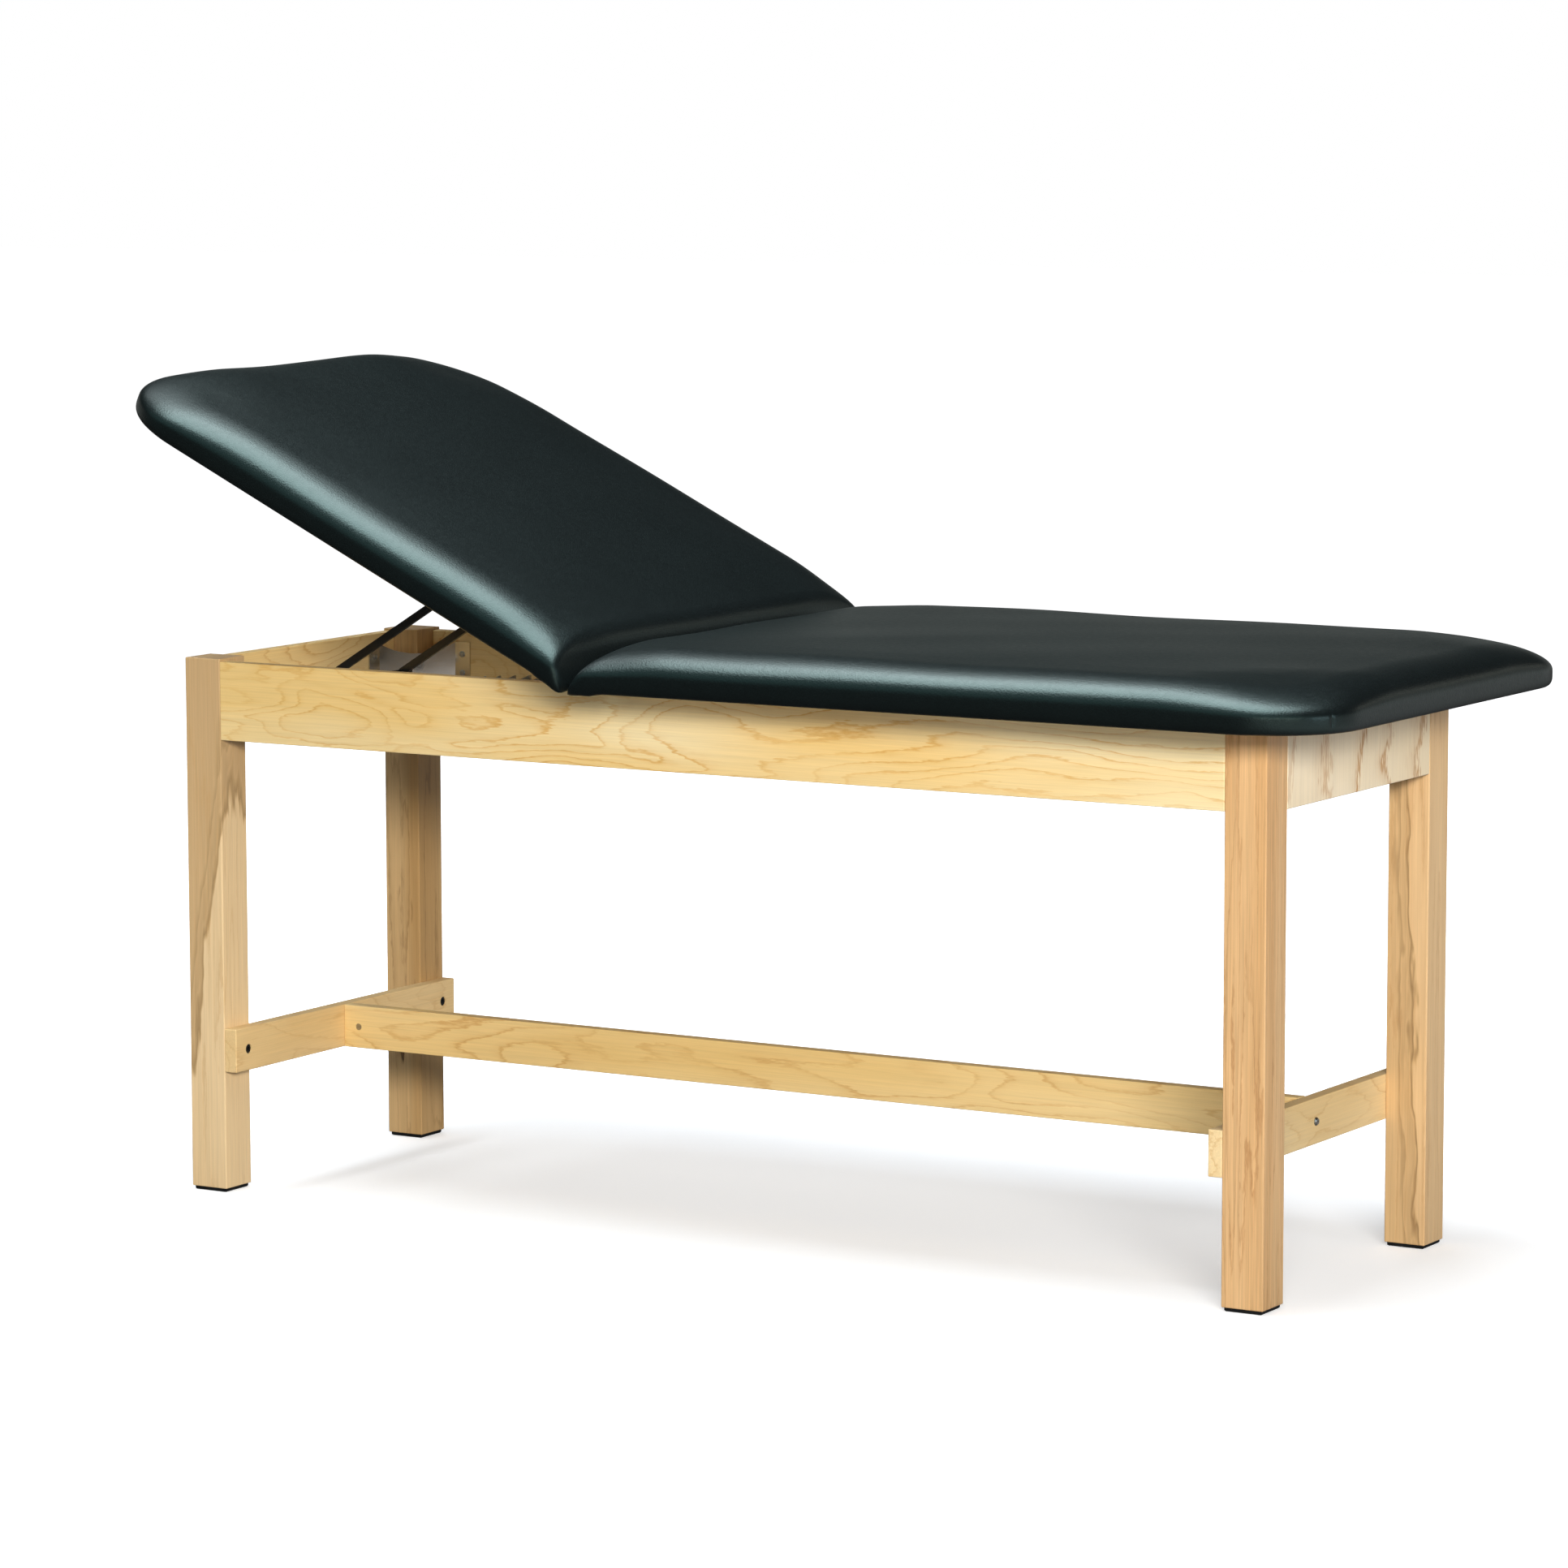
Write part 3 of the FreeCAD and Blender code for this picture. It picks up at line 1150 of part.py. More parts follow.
def make_prop():
    """Two square bars on clevis pins, joined at the foot by the rod that the racks catch."""
    for side, where in (("near", -1), ("far", 1)):
        label = "prop_arm_" + side
        body = new_body(label)
        bar = new_sketch(body, label + "_bar", "XZ_Plane")
        rectangle(bar, "0 - prop_length", "0 - bar_height / 2", "0", "bar_height / 2")
        pad(body, bar, "bar_thickness")
        for end, across in (("top", "0"), ("foot", "0 - prop_length")):
            nose = new_sketch(body, "%s_%s_nose" % (label, end), "XZ_Plane")
            circle(nose, across, "0", "bar_height / 2")
            pad(body, nose, "bar_thickness")
        holes = new_sketch(body, label + "_holes", "XZ_Plane")
        for across in ("0", "0 - prop_length"):
            circle(holes, across, "0", "pivot_radius + pin_slack")
        pocket(body, holes, label + "_hole_cut")
        place(body, "pivot_x", "%d * prop_spread" % where, "pivot_z", AROUND_Y, "0 - arm_angle")
        keep(body)

    rod = new_body("foot_rod")
    sketch = new_sketch(rod, "foot_rod_round", "XZ_Plane")
    circle(sketch, "0", "0", "pivot_radius")
    pad(rod, sketch, "2 * (prop_spread + bar_thickness / 2 + foot_overhang)")
    place(rod, "foot_x", "0", "foot_z")
    keep(rod)

    cap = new_body("foot_cap")
    sketch = new_sketch(cap, "foot_cap_half", "XZ_Plane")
    wide = "foot_cap_radius"
    polygon(sketch, [("pivot_radius + seat_slack", "0"), (wide, "0"),
                     (wide, "foot_overhang + foot_cap_depth - foot_cap_radius / 3"),
                     (wide + " * 2 / 3", "foot_overhang + foot_cap_depth"),
                     ("0", "foot_overhang + foot_cap_depth"), ("0", "foot_overhang + seat_slack"),
                     ("pivot_radius + seat_slack", "foot_overhang + seat_slack")])
    revolve(cap, sketch)
    copies("foot_caps", cap, [
        ("foot_x", "%d * (prop_spread + bar_thickness / 2)" % side, "foot_z",
         FreeCAD.Rotation(AROUND_X, -side * QUARTER)) for side in (-1, 1)])


# Cushions: foam in vinyl over the boards

TUCK_SHARES = (1, 0)
ROLL_ANGLES = (20, 40, 58, 74, 90)
CROWN_REACH_SHARES = (0.25, 0.6, 1)


def cushion_levels():
    """Pairs of height over the board's underside and inset from the cushion's outer edge.

    The side tucks in a little at the bottom, stands upright, rolls over a quarter of an
    ellipse to the rim and then rises gently to the crown.
    """
    upright, rim = amount("side_upright"), amount("cushion_rim")
    roll, crown = amount("side_roll"), amount("crown_rise")
    tuck, tuck_height = amount("under_tuck"), amount("under_tuck_height")
    levels = [(tuck_height * (1 - share), tuck * share) for share in TUCK_SHARES]
    levels.append((upright, 0))
    for angle in ROLL_ANGLES:
        turn = math.radians(angle)
        levels.append((upright + (rim - upright) * math.sin(turn), roll * (1 - math.cos(turn))))
    reach = amount("cushion_width / 2 - corner_round") - roll
    for share in CROWN_REACH_SHARES:
        levels.append((rim + crown * math.sin(share * math.pi / 2), roll + reach * share))
    return levels


def nose_inset(height, side_inset):
    """How far the hinge end lies back from the hinge line: a straight bevel, then an arc up to the rim."""
    bevel = math.radians(amount("hinge_bevel_angle"))
    straight, rim = amount("hinge_bevel_height"), amount("cushion_rim")
    start = amount("hinge_nose_gap + axis_drop * sin(hinge_bevel_angle) / cos(hinge_bevel_angle)")
    if height <= straight:
        return start + height * math.tan(bevel)
    radius = (rim - straight) / (1 - math.sin(bevel))
    lean = math.acos(min(1, math.sin(bevel) + (height - straight) / radius))
    run = radius * (math.cos(bevel) - math.sin(lean))
    beyond = side_inset - amount("side_roll") if height > rim else 0
    return start + straight * math.tan(bevel) + run + beyond


def rounded_wire(low_x, high_x, half_y, low_round, high_round, height):
    """A rectangle with a quarter arc at each corner, one radius for its low X and one for its high X end."""
    corners = [(low_x, -half_y, low_round, 1, 1), (high_x, -half_y, high_round, -1, 1),
               (high_x, half_y, high_round, -1, -1), (low_x, half_y, low_round, 1, -1)]
    diagonal = 1 - math.sqrt(0.5)
    arcs = []
    for number, (x, y, radius, to_x, to_y) in enumerate(corners):
        along_x = Vector(x + to_x * radius, y, height)
        along_y = Vector(x, y + to_y * radius, height)
        middle = Vector(x + to_x * radius * diagonal, y + to_y * radius * diagonal, height)
        first, last = (along_y, along_x) if number % 2 == 0 else (along_x, along_y)
        arcs.append((first, middle, last))
    edges = []
    for number, (first, middle, last) in enumerate(arcs):
        edges.append(Part.Arc(first, middle, last).toShape())
        edges.append(Part.LineSegment(last, arcs[(number + 1) % len(arcs)][0]).toShape())
    return Part.Wire(edges)


def spanning_wire(side, near_x, far_x, half_y, near_round, far_round, height):
    """A rounded rectangle from the hinge line to the foot end for side 1, to the head end for -1."""
    if side > 0:
        return rounded_wire(near_x, far_x, half_y, near_round, far_round, height)
    return rounded_wire(-far_x, -near_x, half_y, far_round, near_round, height)


def cushion_shape(side, length):
    """A cushion in the hinge frame: X along it from the hinge line, Z from the board's underside up."""
    half = amount("cushion_width") / 2
    outer, roll = amount("corner_round"), amount("side_roll")
    wires = []
    for height, inset in cushion_levels():
        nose = nose_inset(height, inset)
        rolled = min(inset, roll)
        fade = outer / (outer + inset - rolled)
        far_round = (outer - rolled / 2) * fade
        near_round = (amount("hinge_corner_round") + rolled / 2) * fade
        wires.append(spanning_wire(side, nose, length - inset, half - inset, near_round, far_round, height))
    return Part.makeLoft(wires, True, True)


def board_recess(side, length):
    """The room that the board takes in the cushion's underside."""
    slack = amount("board_slack")
    half = amount("cushion_width / 2 - board_margin") + slack
    near_x = amount("board_setback") - slack
    far_x = length - amount("board_margin") + slack
    radius = amount("corner_round - board_margin") + slack
    plan = spanning_wire(side, near_x, far_x, half, slack, radius, -amount("cut_overrun"))
    return Part.Face(plan).extrude(Vector(0, 0, amount("cut_overrun + board_thickness") + slack))


def make_cushions():
    for label, side, alias in (("body_cushion", 1, "body_length"), ("backrest_cushion", -1, "backrest_length")):
        length = amount(alias)
        feature = doc.addObject("Part::Feature", label)
        feature.Shape = cushion_shape(side, length).cut(board_recess(side, length))
        if side > 0:
            place(feature, "hinge_line", "0", "board_bottom")
        else:
            place(feature, "hinge_line + axis_drop * sin(rest_angle)", "0",
                  "axis_height + axis_drop * cos(rest_angle)", AROUND_Y, "rest_angle")
        keep(feature, label)


def check_and_write():
    """Stops on any failed object or bad shape, then writes each sub-part to its own file."""
    doc.recompute()
    for thing in doc.Objects:
        if "Invalid" in thing.State or "Error" in thing.State:
            raise RuntimeError("%s failed: %s" % (thing.Label, thing.State))
    os.makedirs("parts", exist_ok=True)
    for thing in EXPORTS:
        shape = thing.Shape
        if shape.isNull() or not shape.isValid() or not shape.Solids:
            raise RuntimeError(thing.Label + " has no valid shape")
    for thing in EXPORTS:
        thing.Shape.exportStep("parts/%s.step" % thing.Label)


fill_sheet()
make_screw_masters()
make_legs()
make_glides()
make_rails()
make_corner_braces()
make_brace_fastenings()
make_stretchers()
make_stretcher_fastenings()
make_cross_members()
make_racks()
make_angles()
make_boards()
make_hinges()
make_prop_brackets()
make_prop()
make_cushions()
check_and_write()
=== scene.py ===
"""Looks of a padded treatment table with a lifting backrest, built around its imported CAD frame.

The wooden frame, the fittings and the prop stay the CAD's own nodes and get materials here.
The two cushions are new soft pieces that stand for the CAD's plain ones.
"""

import logging
import math
from dataclasses import dataclass
from enum import Enum

import bpy
import numpy as np
from mathutils import Matrix


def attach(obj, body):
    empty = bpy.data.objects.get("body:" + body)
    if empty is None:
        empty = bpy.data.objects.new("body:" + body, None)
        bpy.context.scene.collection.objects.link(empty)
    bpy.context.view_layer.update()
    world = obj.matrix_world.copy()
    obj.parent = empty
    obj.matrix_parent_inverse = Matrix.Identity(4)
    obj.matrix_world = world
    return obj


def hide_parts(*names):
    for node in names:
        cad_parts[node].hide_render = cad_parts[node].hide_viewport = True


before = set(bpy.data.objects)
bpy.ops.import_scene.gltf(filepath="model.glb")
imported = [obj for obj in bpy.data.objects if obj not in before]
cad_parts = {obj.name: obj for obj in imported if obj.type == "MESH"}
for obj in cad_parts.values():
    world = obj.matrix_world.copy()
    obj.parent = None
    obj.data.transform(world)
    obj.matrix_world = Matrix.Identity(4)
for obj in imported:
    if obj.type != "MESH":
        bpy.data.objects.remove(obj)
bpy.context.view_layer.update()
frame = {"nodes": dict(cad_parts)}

LOG = logging.getLogger("treatment_table")
MM = 0.001
SMOOTH = {"interpolation_type": "SMOOTHSTEP"}

Colour = tuple[float, float, float, float]
Place = tuple[float, float, float]
Tree = bpy.types.NodeTree
Node = bpy.types.Node
Socket = bpy.types.NodeSocket


# Numbers, colours and nodes


def smooth_step(value: np.ndarray) -> np.ndarray:
    """An even rise from 0 to 1 as value goes from 0 to 1: 3v² − 2v³."""
    held = np.clip(value, 0, 1)
    return held * held * (3 - 2 * held)


@dataclass(frozen=True)
class Fade:
    """A value that goes from first, at start, to last, at end, and keeps to them outside."""

    start: float
    end: float
    first: float = 0.0
    last: float = 1.0

    def at(self, value: np.ndarray) -> np.ndarray:
        """Its values: first + (last − first) s, where s is the smooth step of the way from start to end."""
        share = (value - self.start) / (self.end - self.start)
        return self.first + (self.last - self.first) * smooth_step(share)

    def of(self, value: Socket) -> dict:
        """The sockets of a Map Range node that follows it as value changes."""
        return {"Value": value, "From Min": self.start, "From Max": self.end,
                "To Min": self.first, "To Max": self.last}


def linear(hex_colour: str) -> Colour:
    """Turns an sRGB hex colour into the linear colour that a shader takes.

    Args:
        hex_colour: Six hex digits after a hash.

    Returns:
        Red, green, blue and an alpha of one, each from 0 to 1.
    """
    parts = [int(hex_colour[at:at + 2], 16) / 255 for at in (1, 3, 5)]
    red, green, blue = (c / 12.92 if c <= 0.04045 else ((c + 0.055) / 1.055) ** 2.4 for c in parts)
    return red, green, blue, 1.0


def grey(value: float) -> Colour:
    """A linear grey of that value."""
    return value, value, value, 1.0


def add_node(tree: Tree, kind: str, inputs: dict | None = None, **settings: object) -> Node:
    """Adds one node with its settings, sockets and links.

    Args:
        tree: The node tree that gets it.
        kind: The node's type after the word ShaderNode.
        inputs: Socket name or number to a value, or to the output that feeds it.
        settings: The node's own properties.

    Returns:
        The new node.
    """
    node = tree.nodes.new("ShaderNode" + kind)
    for name, value in settings.items():
        setattr(node, name, value)
    for name, value in (inputs or {}).items():
        if isinstance(value, Socket):
            tree.links.new(value, node.inputs[name])
        else:
            node.inputs[name].default_value = value
    return node


def new_material(name: str) -> tuple[bpy.types.Material, Tree, Node]:
    """Makes an empty node material.

    Args:
        name: The material's name.

    Returns:
        The material, its node tree and its output node.
    """
    material = bpy.data.materials.new(name)
    material.use_nodes = True
    tree = material.node_tree
    tree.nodes.clear()
    return material, tree, add_node(tree, "OutputMaterial")


def fill_ramp(ramp: Node, stops: tuple[tuple[float, float], ...]) -> None:
    """Gives a colour ramp its grey stops.

    Args:
        ramp: The ColorRamp node.
        stops: Places from 0 to 1 with their linear greys, in order.
    """
    elements = ramp.color_ramp.elements
    while len(elements) < len(stops):
        elements.new(1.0)
    for element, (place, value) in zip(elements, stops):
        element.position = place
        element.color = grey(value)


def cells(along: float, across: float) -> Place:
    """The Scale of a noise whose cells have these lengths in millimetres, with the fibres along X."""
    return 1 / (along * MM), 1 / (across * MM), 1 / (across * MM)


# Finishes


class Grain(Enum):
    """Which way a board's fibres run, as the turn that brings them onto X, in degrees."""

    ALONG = (0.0, 0.0, 0.0)
    ACROSS = (0.0, 0.0, -90.0)
    UPRIGHT = (0.0, 90.0, 0.0)


# How much of the line colour shows across one year's growth, and across the streaks beside heartwood and
# beside painted shade.
LATE_WOOD = ((0.0, 0.2), (0.04, 0.0), (0.55, 0.02), (0.82, 0.25), (0.93, 1.0), (1.0, 0.45))
VEINS_AND_SHADE = ((0.0, 0.0), (0.25, 0.5), (0.32, 0.05), (0.6, 0.25), (0.72, 0.1), (0.9, 0.8), (0.97, 0.1), (1.0, 0.0))


@dataclass(frozen=True)
class HeartAndShade:
    """A darker zone on one side of a leg, with streaks beside its edge: heartwood, and on the head-far leg
    painted shade over its near face. Lengths are in millimetres.

    It lies where the reach from origin along direction is below zero. Its edge is blurred, wanders
    by up to half of wander to either side, and has the streaks within width of it.
    """

    origin: Place
    direction: Place
    width: float
    tone: str
    streak_and_shade: str
    wander: float = 45.0
    blur: float = 2.0


@dataclass(frozen=True)
class Timber:
    """Clear-lacquered hardwood, sawn and sanded: pale ground, honey growth lines and fine fibres.

    The growth lines are the levels of a slow noise that is drawn out along the fibres,
    each one fading in and ending sharply, as late wood does. Where a sweep is given, that many
    lines per metre rise plainly along X, Y and Z as well, counted from sweep_zero.
    A pair of sizes is a noise cell's length along and across the fibres, in millimetres.
    """

    name: str
    pale: str
    warm: str
    line: str
    grain: Grain = Grain.ALONG
    seed: Place = (0.0, 0.0, 0.0)
    cell_along: float = 190.0
    cell_across: float = 62.0
    lines_per_cell: float = 7.0
    drift: float = 0.0
    line_strength: float = 0.62
    sweep: Place = (0.0, 0.0, 0.0)
    sweep_zero: float = 0.0
    sweep_part: Fade = Fade(-0.7, 0.6)
    rings_left: float = 0.45
    detail: float = 1.0
    tooth: tuple[float, float] = (26.316, 3.8462)
    tooth_depth: float = 0.55
    stretch: tuple[float, float] = (181.82, 62.5)
    boldness: Fade = Fade(0.36, 0.62, 0.35)
    warm_part: Fade = Fade(0.38, 0.66)
    fibre: float = 0.10
    fibre_size: tuple[float, float] = (142.86, 2.0833)
    fibre_depth: float = 0.4
    roughness: Fade = Fade(0.0, 1.0, 0.36, 0.52)
    heart_and_shade: HeartAndShade | None = None
    heart_and_shade_edge: tuple[float, float] = (142.86, 25.0)

    def make(self) -> bpy.types.Material:
        """Builds the material.

        The fibres are drawn 2 mm wide, coarser than the real 0.3 mm, so that they show.

        Returns:
            A node material that reads Object coordinates.
        """
        material, tree, output = new_material(self.name)
        place = add_node(tree, "TexCoord").outputs["Object"]
        turn = tuple(math.radians(a) for a in self.grain.value)
        board = add_node(tree, "Mapping", {"Vector": place, "Location": self.seed,
                                           "Rotation": turn}).outputs[0]
        slow = add_node(tree, "Mapping", {"Vector": board,
                                          "Scale": cells(self.cell_along, self.cell_across)}).outputs[0]
        ground = self.add_ground(tree, place, slow)
        if self.heart_and_shade is not None:
            ground = self.add_heart_and_shade(tree, place, board, ground)
        weight = self.add_growth_lines(tree, place, board, slow)
        figured = add_node(tree, "MixRGB", {"Fac": weight, "Color1": ground,
                                            "Color2": linear(self.line)}).outputs[0]
        fibre_place = add_node(tree, "Mapping", {"Vector": board,
                                                 "Scale": cells(*self.fibre_size)}).outputs[0]
        fibres = add_node(tree, "TexNoise", {"Vector": fibre_place, "Scale": 1.0, "Detail": 3.0,
                                             "Roughness": 0.65}).outputs[0]
        fibre_shade = Fade(0.25, 0.75, 1 - self.fibre, 1 + self.fibre / 2)
        shade = add_node(tree, "MapRange", fibre_shade.of(fibres)).outputs[0]
        colour = add_node(tree, "VectorMath", {0: figured, "Scale": shade}, operation="SCALE").outputs[0]
        rough = add_node(tree, "MapRange", self.roughness.of(fibres)).outputs[0]
        bump = add_node(tree, "Bump", {"Height": fibres, "Strength": 0.12,
                                       "Distance": self.fibre_depth * MM}).outputs[0]
        shader = add_node(tree, "BsdfPrincipled", {"Base Color": colour, "Roughness": rough, "Normal": bump,
                                                   "IOR": 1.5, "Coat Weight": 0.12, "Coat Roughness": 0.3})
        tree.links.new(shader.outputs[0], output.inputs["Surface"])
        return material

    def add_ground(self, tree: Tree, place: Socket, slow: Socket) -> Socket:
        """Lays broad patches of warmer wood, a little over two cells of the slow noise long.

        Args:
            tree: The material's node tree.
            place: Object coordinates, along which the patches get fewer by the drift per metre.
            slow: The board's coordinates, counted in cells of the slow noise.

        Returns:
            The ground colour.
        """
        patch = add_node(tree, "TexNoise", {"Vector": slow, "Scale": 0.45, "Detail": 2.0}).outputs[0]
        fewer = add_node(tree, "VectorMath", {0: place, 1: (-self.drift, 0.0, 0.0)},
                         operation="DOT_PRODUCT").outputs["Value"]
        warmth = add_node(tree, "Math", {0: patch, 1: fewer}, operation="ADD").outputs[0]
        patches = add_node(tree, "MapRange", self.warm_part.of(warmth)).outputs[0]
        return add_node(tree, "MixRGB", {"Fac": patches, "Color1": linear(self.pale),
                                         "Color2": linear(self.warm)}).outputs[0]

    def add_growth_lines(self, tree: Tree, place: Socket, board: Socket, slow: Socket) -> Socket:
        """Draws the growth lines with their saw-toothed edges, which come and go along the board.

        Args:
            tree: The material's node tree.
            place: Object coordinates.
            board: The board's own coordinates, fibres along X.
            slow: The same, counted in cells of the slow noise.

        Returns:
            How much of the line colour shows.
        """
        hills = add_node(tree, "TexNoise", {"Vector": slow, "Scale": 1.0, "Detail": self.detail,
                                            "Roughness": 0.35, "Distortion": 0.3}).outputs[0]
        tooth_place = add_node(tree, "Mapping", {"Vector": board, "Scale": cells(*self.tooth)}).outputs[0]
        teeth = add_node(tree, "TexNoise", {"Vector": tooth_place, "Scale": 1.0, "Detail": 2.0,
                                            "Roughness": 0.6}).outputs[0]
        level = self.add_level(tree, place, hills)
        frayed = add_node(tree, "Math", {0: teeth, 1: self.tooth_depth, 2: level},
                          operation="MULTIPLY_ADD").outputs[0]
        year = add_node(tree, "Math", {0: frayed}, operation="FRACT").outputs[0]
        lines = add_node(tree, "ValToRGB", {"Fac": year})
        fill_ramp(lines, LATE_WOOD)
        fade_place = add_node(tree, "Mapping", {"Vector": board, "Scale": cells(*self.stretch)}).outputs[0]
        fade = add_node(tree, "TexNoise", {"Vector": fade_place, "Scale": 1.0, "Detail": 1.0}).outputs[0]
        bold = add_node(tree, "MapRange", self.boldness.of(fade)).outputs[0]
        shown = add_node(tree, "Math", {0: lines.outputs[0], 1: bold}, operation="MULTIPLY").outputs[0]
        return add_node(tree, "Math", {0: shown, 1: self.line_strength}, operation="MULTIPLY").outputs[0]

    def add_level(self, tree: Tree, place: Socket, hills: Socket) -> Socket:
        """Counts the growth lines up to a place: closed rings at the head end, even waves at the foot end.

        The count is hills × rings. With a sweep, sweep × place − sweep_zero comes in over sweep_part,
        in metres along X, while the rings fall to the share rings_left.

        Args:
            tree: The material's node tree.
            place: Object coordinates.
            hills: The slow noise, from 0 to 1.

        Returns:
            The count of lines.
        """
        rings = self.lines_per_cell * 2
        if not any(self.sweep):
            return add_node(tree, "Math", {0: hills, 1: rings}, operation="MULTIPLY").outputs[0]
        along = add_node(tree, "SeparateXYZ", {0: place}).outputs["X"]
        foot = add_node(tree, "MapRange", self.sweep_part.of(along), **SMOOTH).outputs[0]
        climb = add_node(tree, "VectorMath", {0: place, 1: self.sweep},
                         operation="DOT_PRODUCT").outputs["Value"]
        centred = add_node(tree, "Math", {0: climb, 1: self.sweep_zero}, operation="SUBTRACT").outputs[0]
        waves = add_node(tree, "Math", {0: centred, 1: foot}, operation="MULTIPLY").outputs[0]
        rings_here = Fade(0.0, 1.0, rings, rings * self.rings_left)
        height = add_node(tree, "MapRange", rings_here.of(foot)).outputs[0]
        return add_node(tree, "Math", {0: hills, 1: height, 2: waves}, operation="MULTIPLY_ADD").outputs[0]

    def add_heart_and_shade(self, tree: Tree, place: Socket, board: Socket, ground: Socket) -> Socket:
        """Lays the darker zone over the ground colour: heartwood, and on the head-far leg painted shade.

        Args:
            tree: The material's node tree.
            place: Object coordinates.
            board: The board's own coordinates, fibres along X.
            ground: The colour so far.

        Returns:
            The colour with the darker zone and the dark streaks at its edge, which on the head-far leg are
            painted shade.
        """
        heart_and_shade = self.heart_and_shade
        middle, half_blur = heart_and_shade.wander / 2 * MM, heart_and_shade.blur / 2 * MM
        away = add_node(tree, "VectorMath", {0: place, 1: tuple(v * MM for v in heart_and_shade.origin)},
                        operation="SUBTRACT").outputs[0]
        along = add_node(tree, "VectorMath", {0: away, 1: heart_and_shade.direction},
                         operation="DOT_PRODUCT").outputs["Value"]
        edge_place = add_node(tree, "Mapping", {"Vector": board, "Scale": cells(*self.heart_and_shade_edge)}).outputs[0]
        wander = add_node(tree, "TexNoise", {"Vector": edge_place, "Scale": 1.0, "Detail": 3.0}).outputs[0]
        edge = add_node(tree, "Math", {0: wander, 1: heart_and_shade.wander * MM, 2: along},
                        operation="MULTIPLY_ADD").outputs[0]
        body = Fade(middle - half_blur, middle + half_blur, 1.0, 0.0)
        inside = add_node(tree, "MapRange", body.of(edge)).outputs[0]
        # On the head-far leg the darker zone and the streaks below are painted shade over its near face.
        toned = add_node(tree, "MixRGB", {"Fac": inside, "Color1": ground,
                                          "Color2": linear(heart_and_shade.tone)}).outputs[0]
        strip = Fade(middle - heart_and_shade.width * MM, middle)
        depth = add_node(tree, "MapRange", strip.of(edge)).outputs[0]
        veins_and_shade = add_node(tree, "ValToRGB", {"Fac": depth})
        fill_ramp(veins_and_shade, VEINS_AND_SHADE)
        return add_node(tree, "MixRGB", {"Fac": veins_and_shade.outputs[0], "Color1": toned,
                                         "Color2": linear(heart_and_shade.streak_and_shade)}).outputs[0]


@dataclass(frozen=True)
class Vinyl:
    """Black upholstery vinyl, calendered and embossed with a fine leather grain.

    The film is even in colour with a cool cast. Its pebbles are drawn 2.2 mm across,
    coarser than the real 1 mm, so that they break the highlight as they do on the table.
    Sizes are in millimetres, and uneven is how far the roughness goes below and above.
    """

    name: str = "embossed black vinyl"
    colour: str = "#080b0c"
    worn: str = "#0d1112"
    cast: str = "#ccf2ec"
    cloud: float = 111.11
    pebble: float = 2.2
    crease_share: float = 0.35
    crease_depth: float = 0.8
    relief: float = 0.5
    roughness: float = 0.33
    uneven: tuple[float, float] = (0.06, 0.08)

    def make(self) -> bpy.types.Material:
        """Builds the material.

        Returns:
            A node material that reads Object coordinates.
        """
        material, tree, output = new_material(self.name)
        place = add_node(tree, "TexCoord").outputs["Object"]
        cloud = add_node(tree, "TexNoise", {"Vector": place, "Scale": 1 / (self.cloud * MM),
                                            "Detail": 3.0}).outputs[0]
        tone = add_node(tree, "MixRGB", {"Fac": cloud, "Color1": linear(self.colour),
                                         "Color2": linear(self.worn)}).outputs[0]
        per_metre = 1 / (self.pebble * MM)
        pebbles = add_node(tree, "TexVoronoi", {"Vector": place, "Scale": per_metre, "Smoothness": 0.6},
                           feature="SMOOTH_F1").outputs["Distance"]
        creases = add_node(tree, "TexNoise", {"Vector": place, "Scale": per_metre * self.crease_share,
                                              "Detail": 3.0, "Distortion": 0.6}).outputs[0]
        grain = add_node(tree, "Math", {0: creases, 1: self.crease_depth, 2: pebbles},
                         operation="MULTIPLY_ADD").outputs[0]
        bump = add_node(tree, "Bump", {"Height": grain, "Strength": 0.27,
                                       "Distance": self.relief * MM}).outputs[0]
        below, above = self.uneven
        spread = Fade(0.0, 1.0, self.roughness - below, self.roughness + above)
        rough = add_node(tree, "MapRange", spread.of(creases)).outputs[0]
        shader = add_node(tree, "BsdfPrincipled", {"Base Color": tone, "Roughness": rough, "Normal": bump,
                                                   "IOR": 1.5, "Specular Tint": linear(self.cast)})
        tree.links.new(shader.outputs[0], output.inputs["Surface"])
        return material


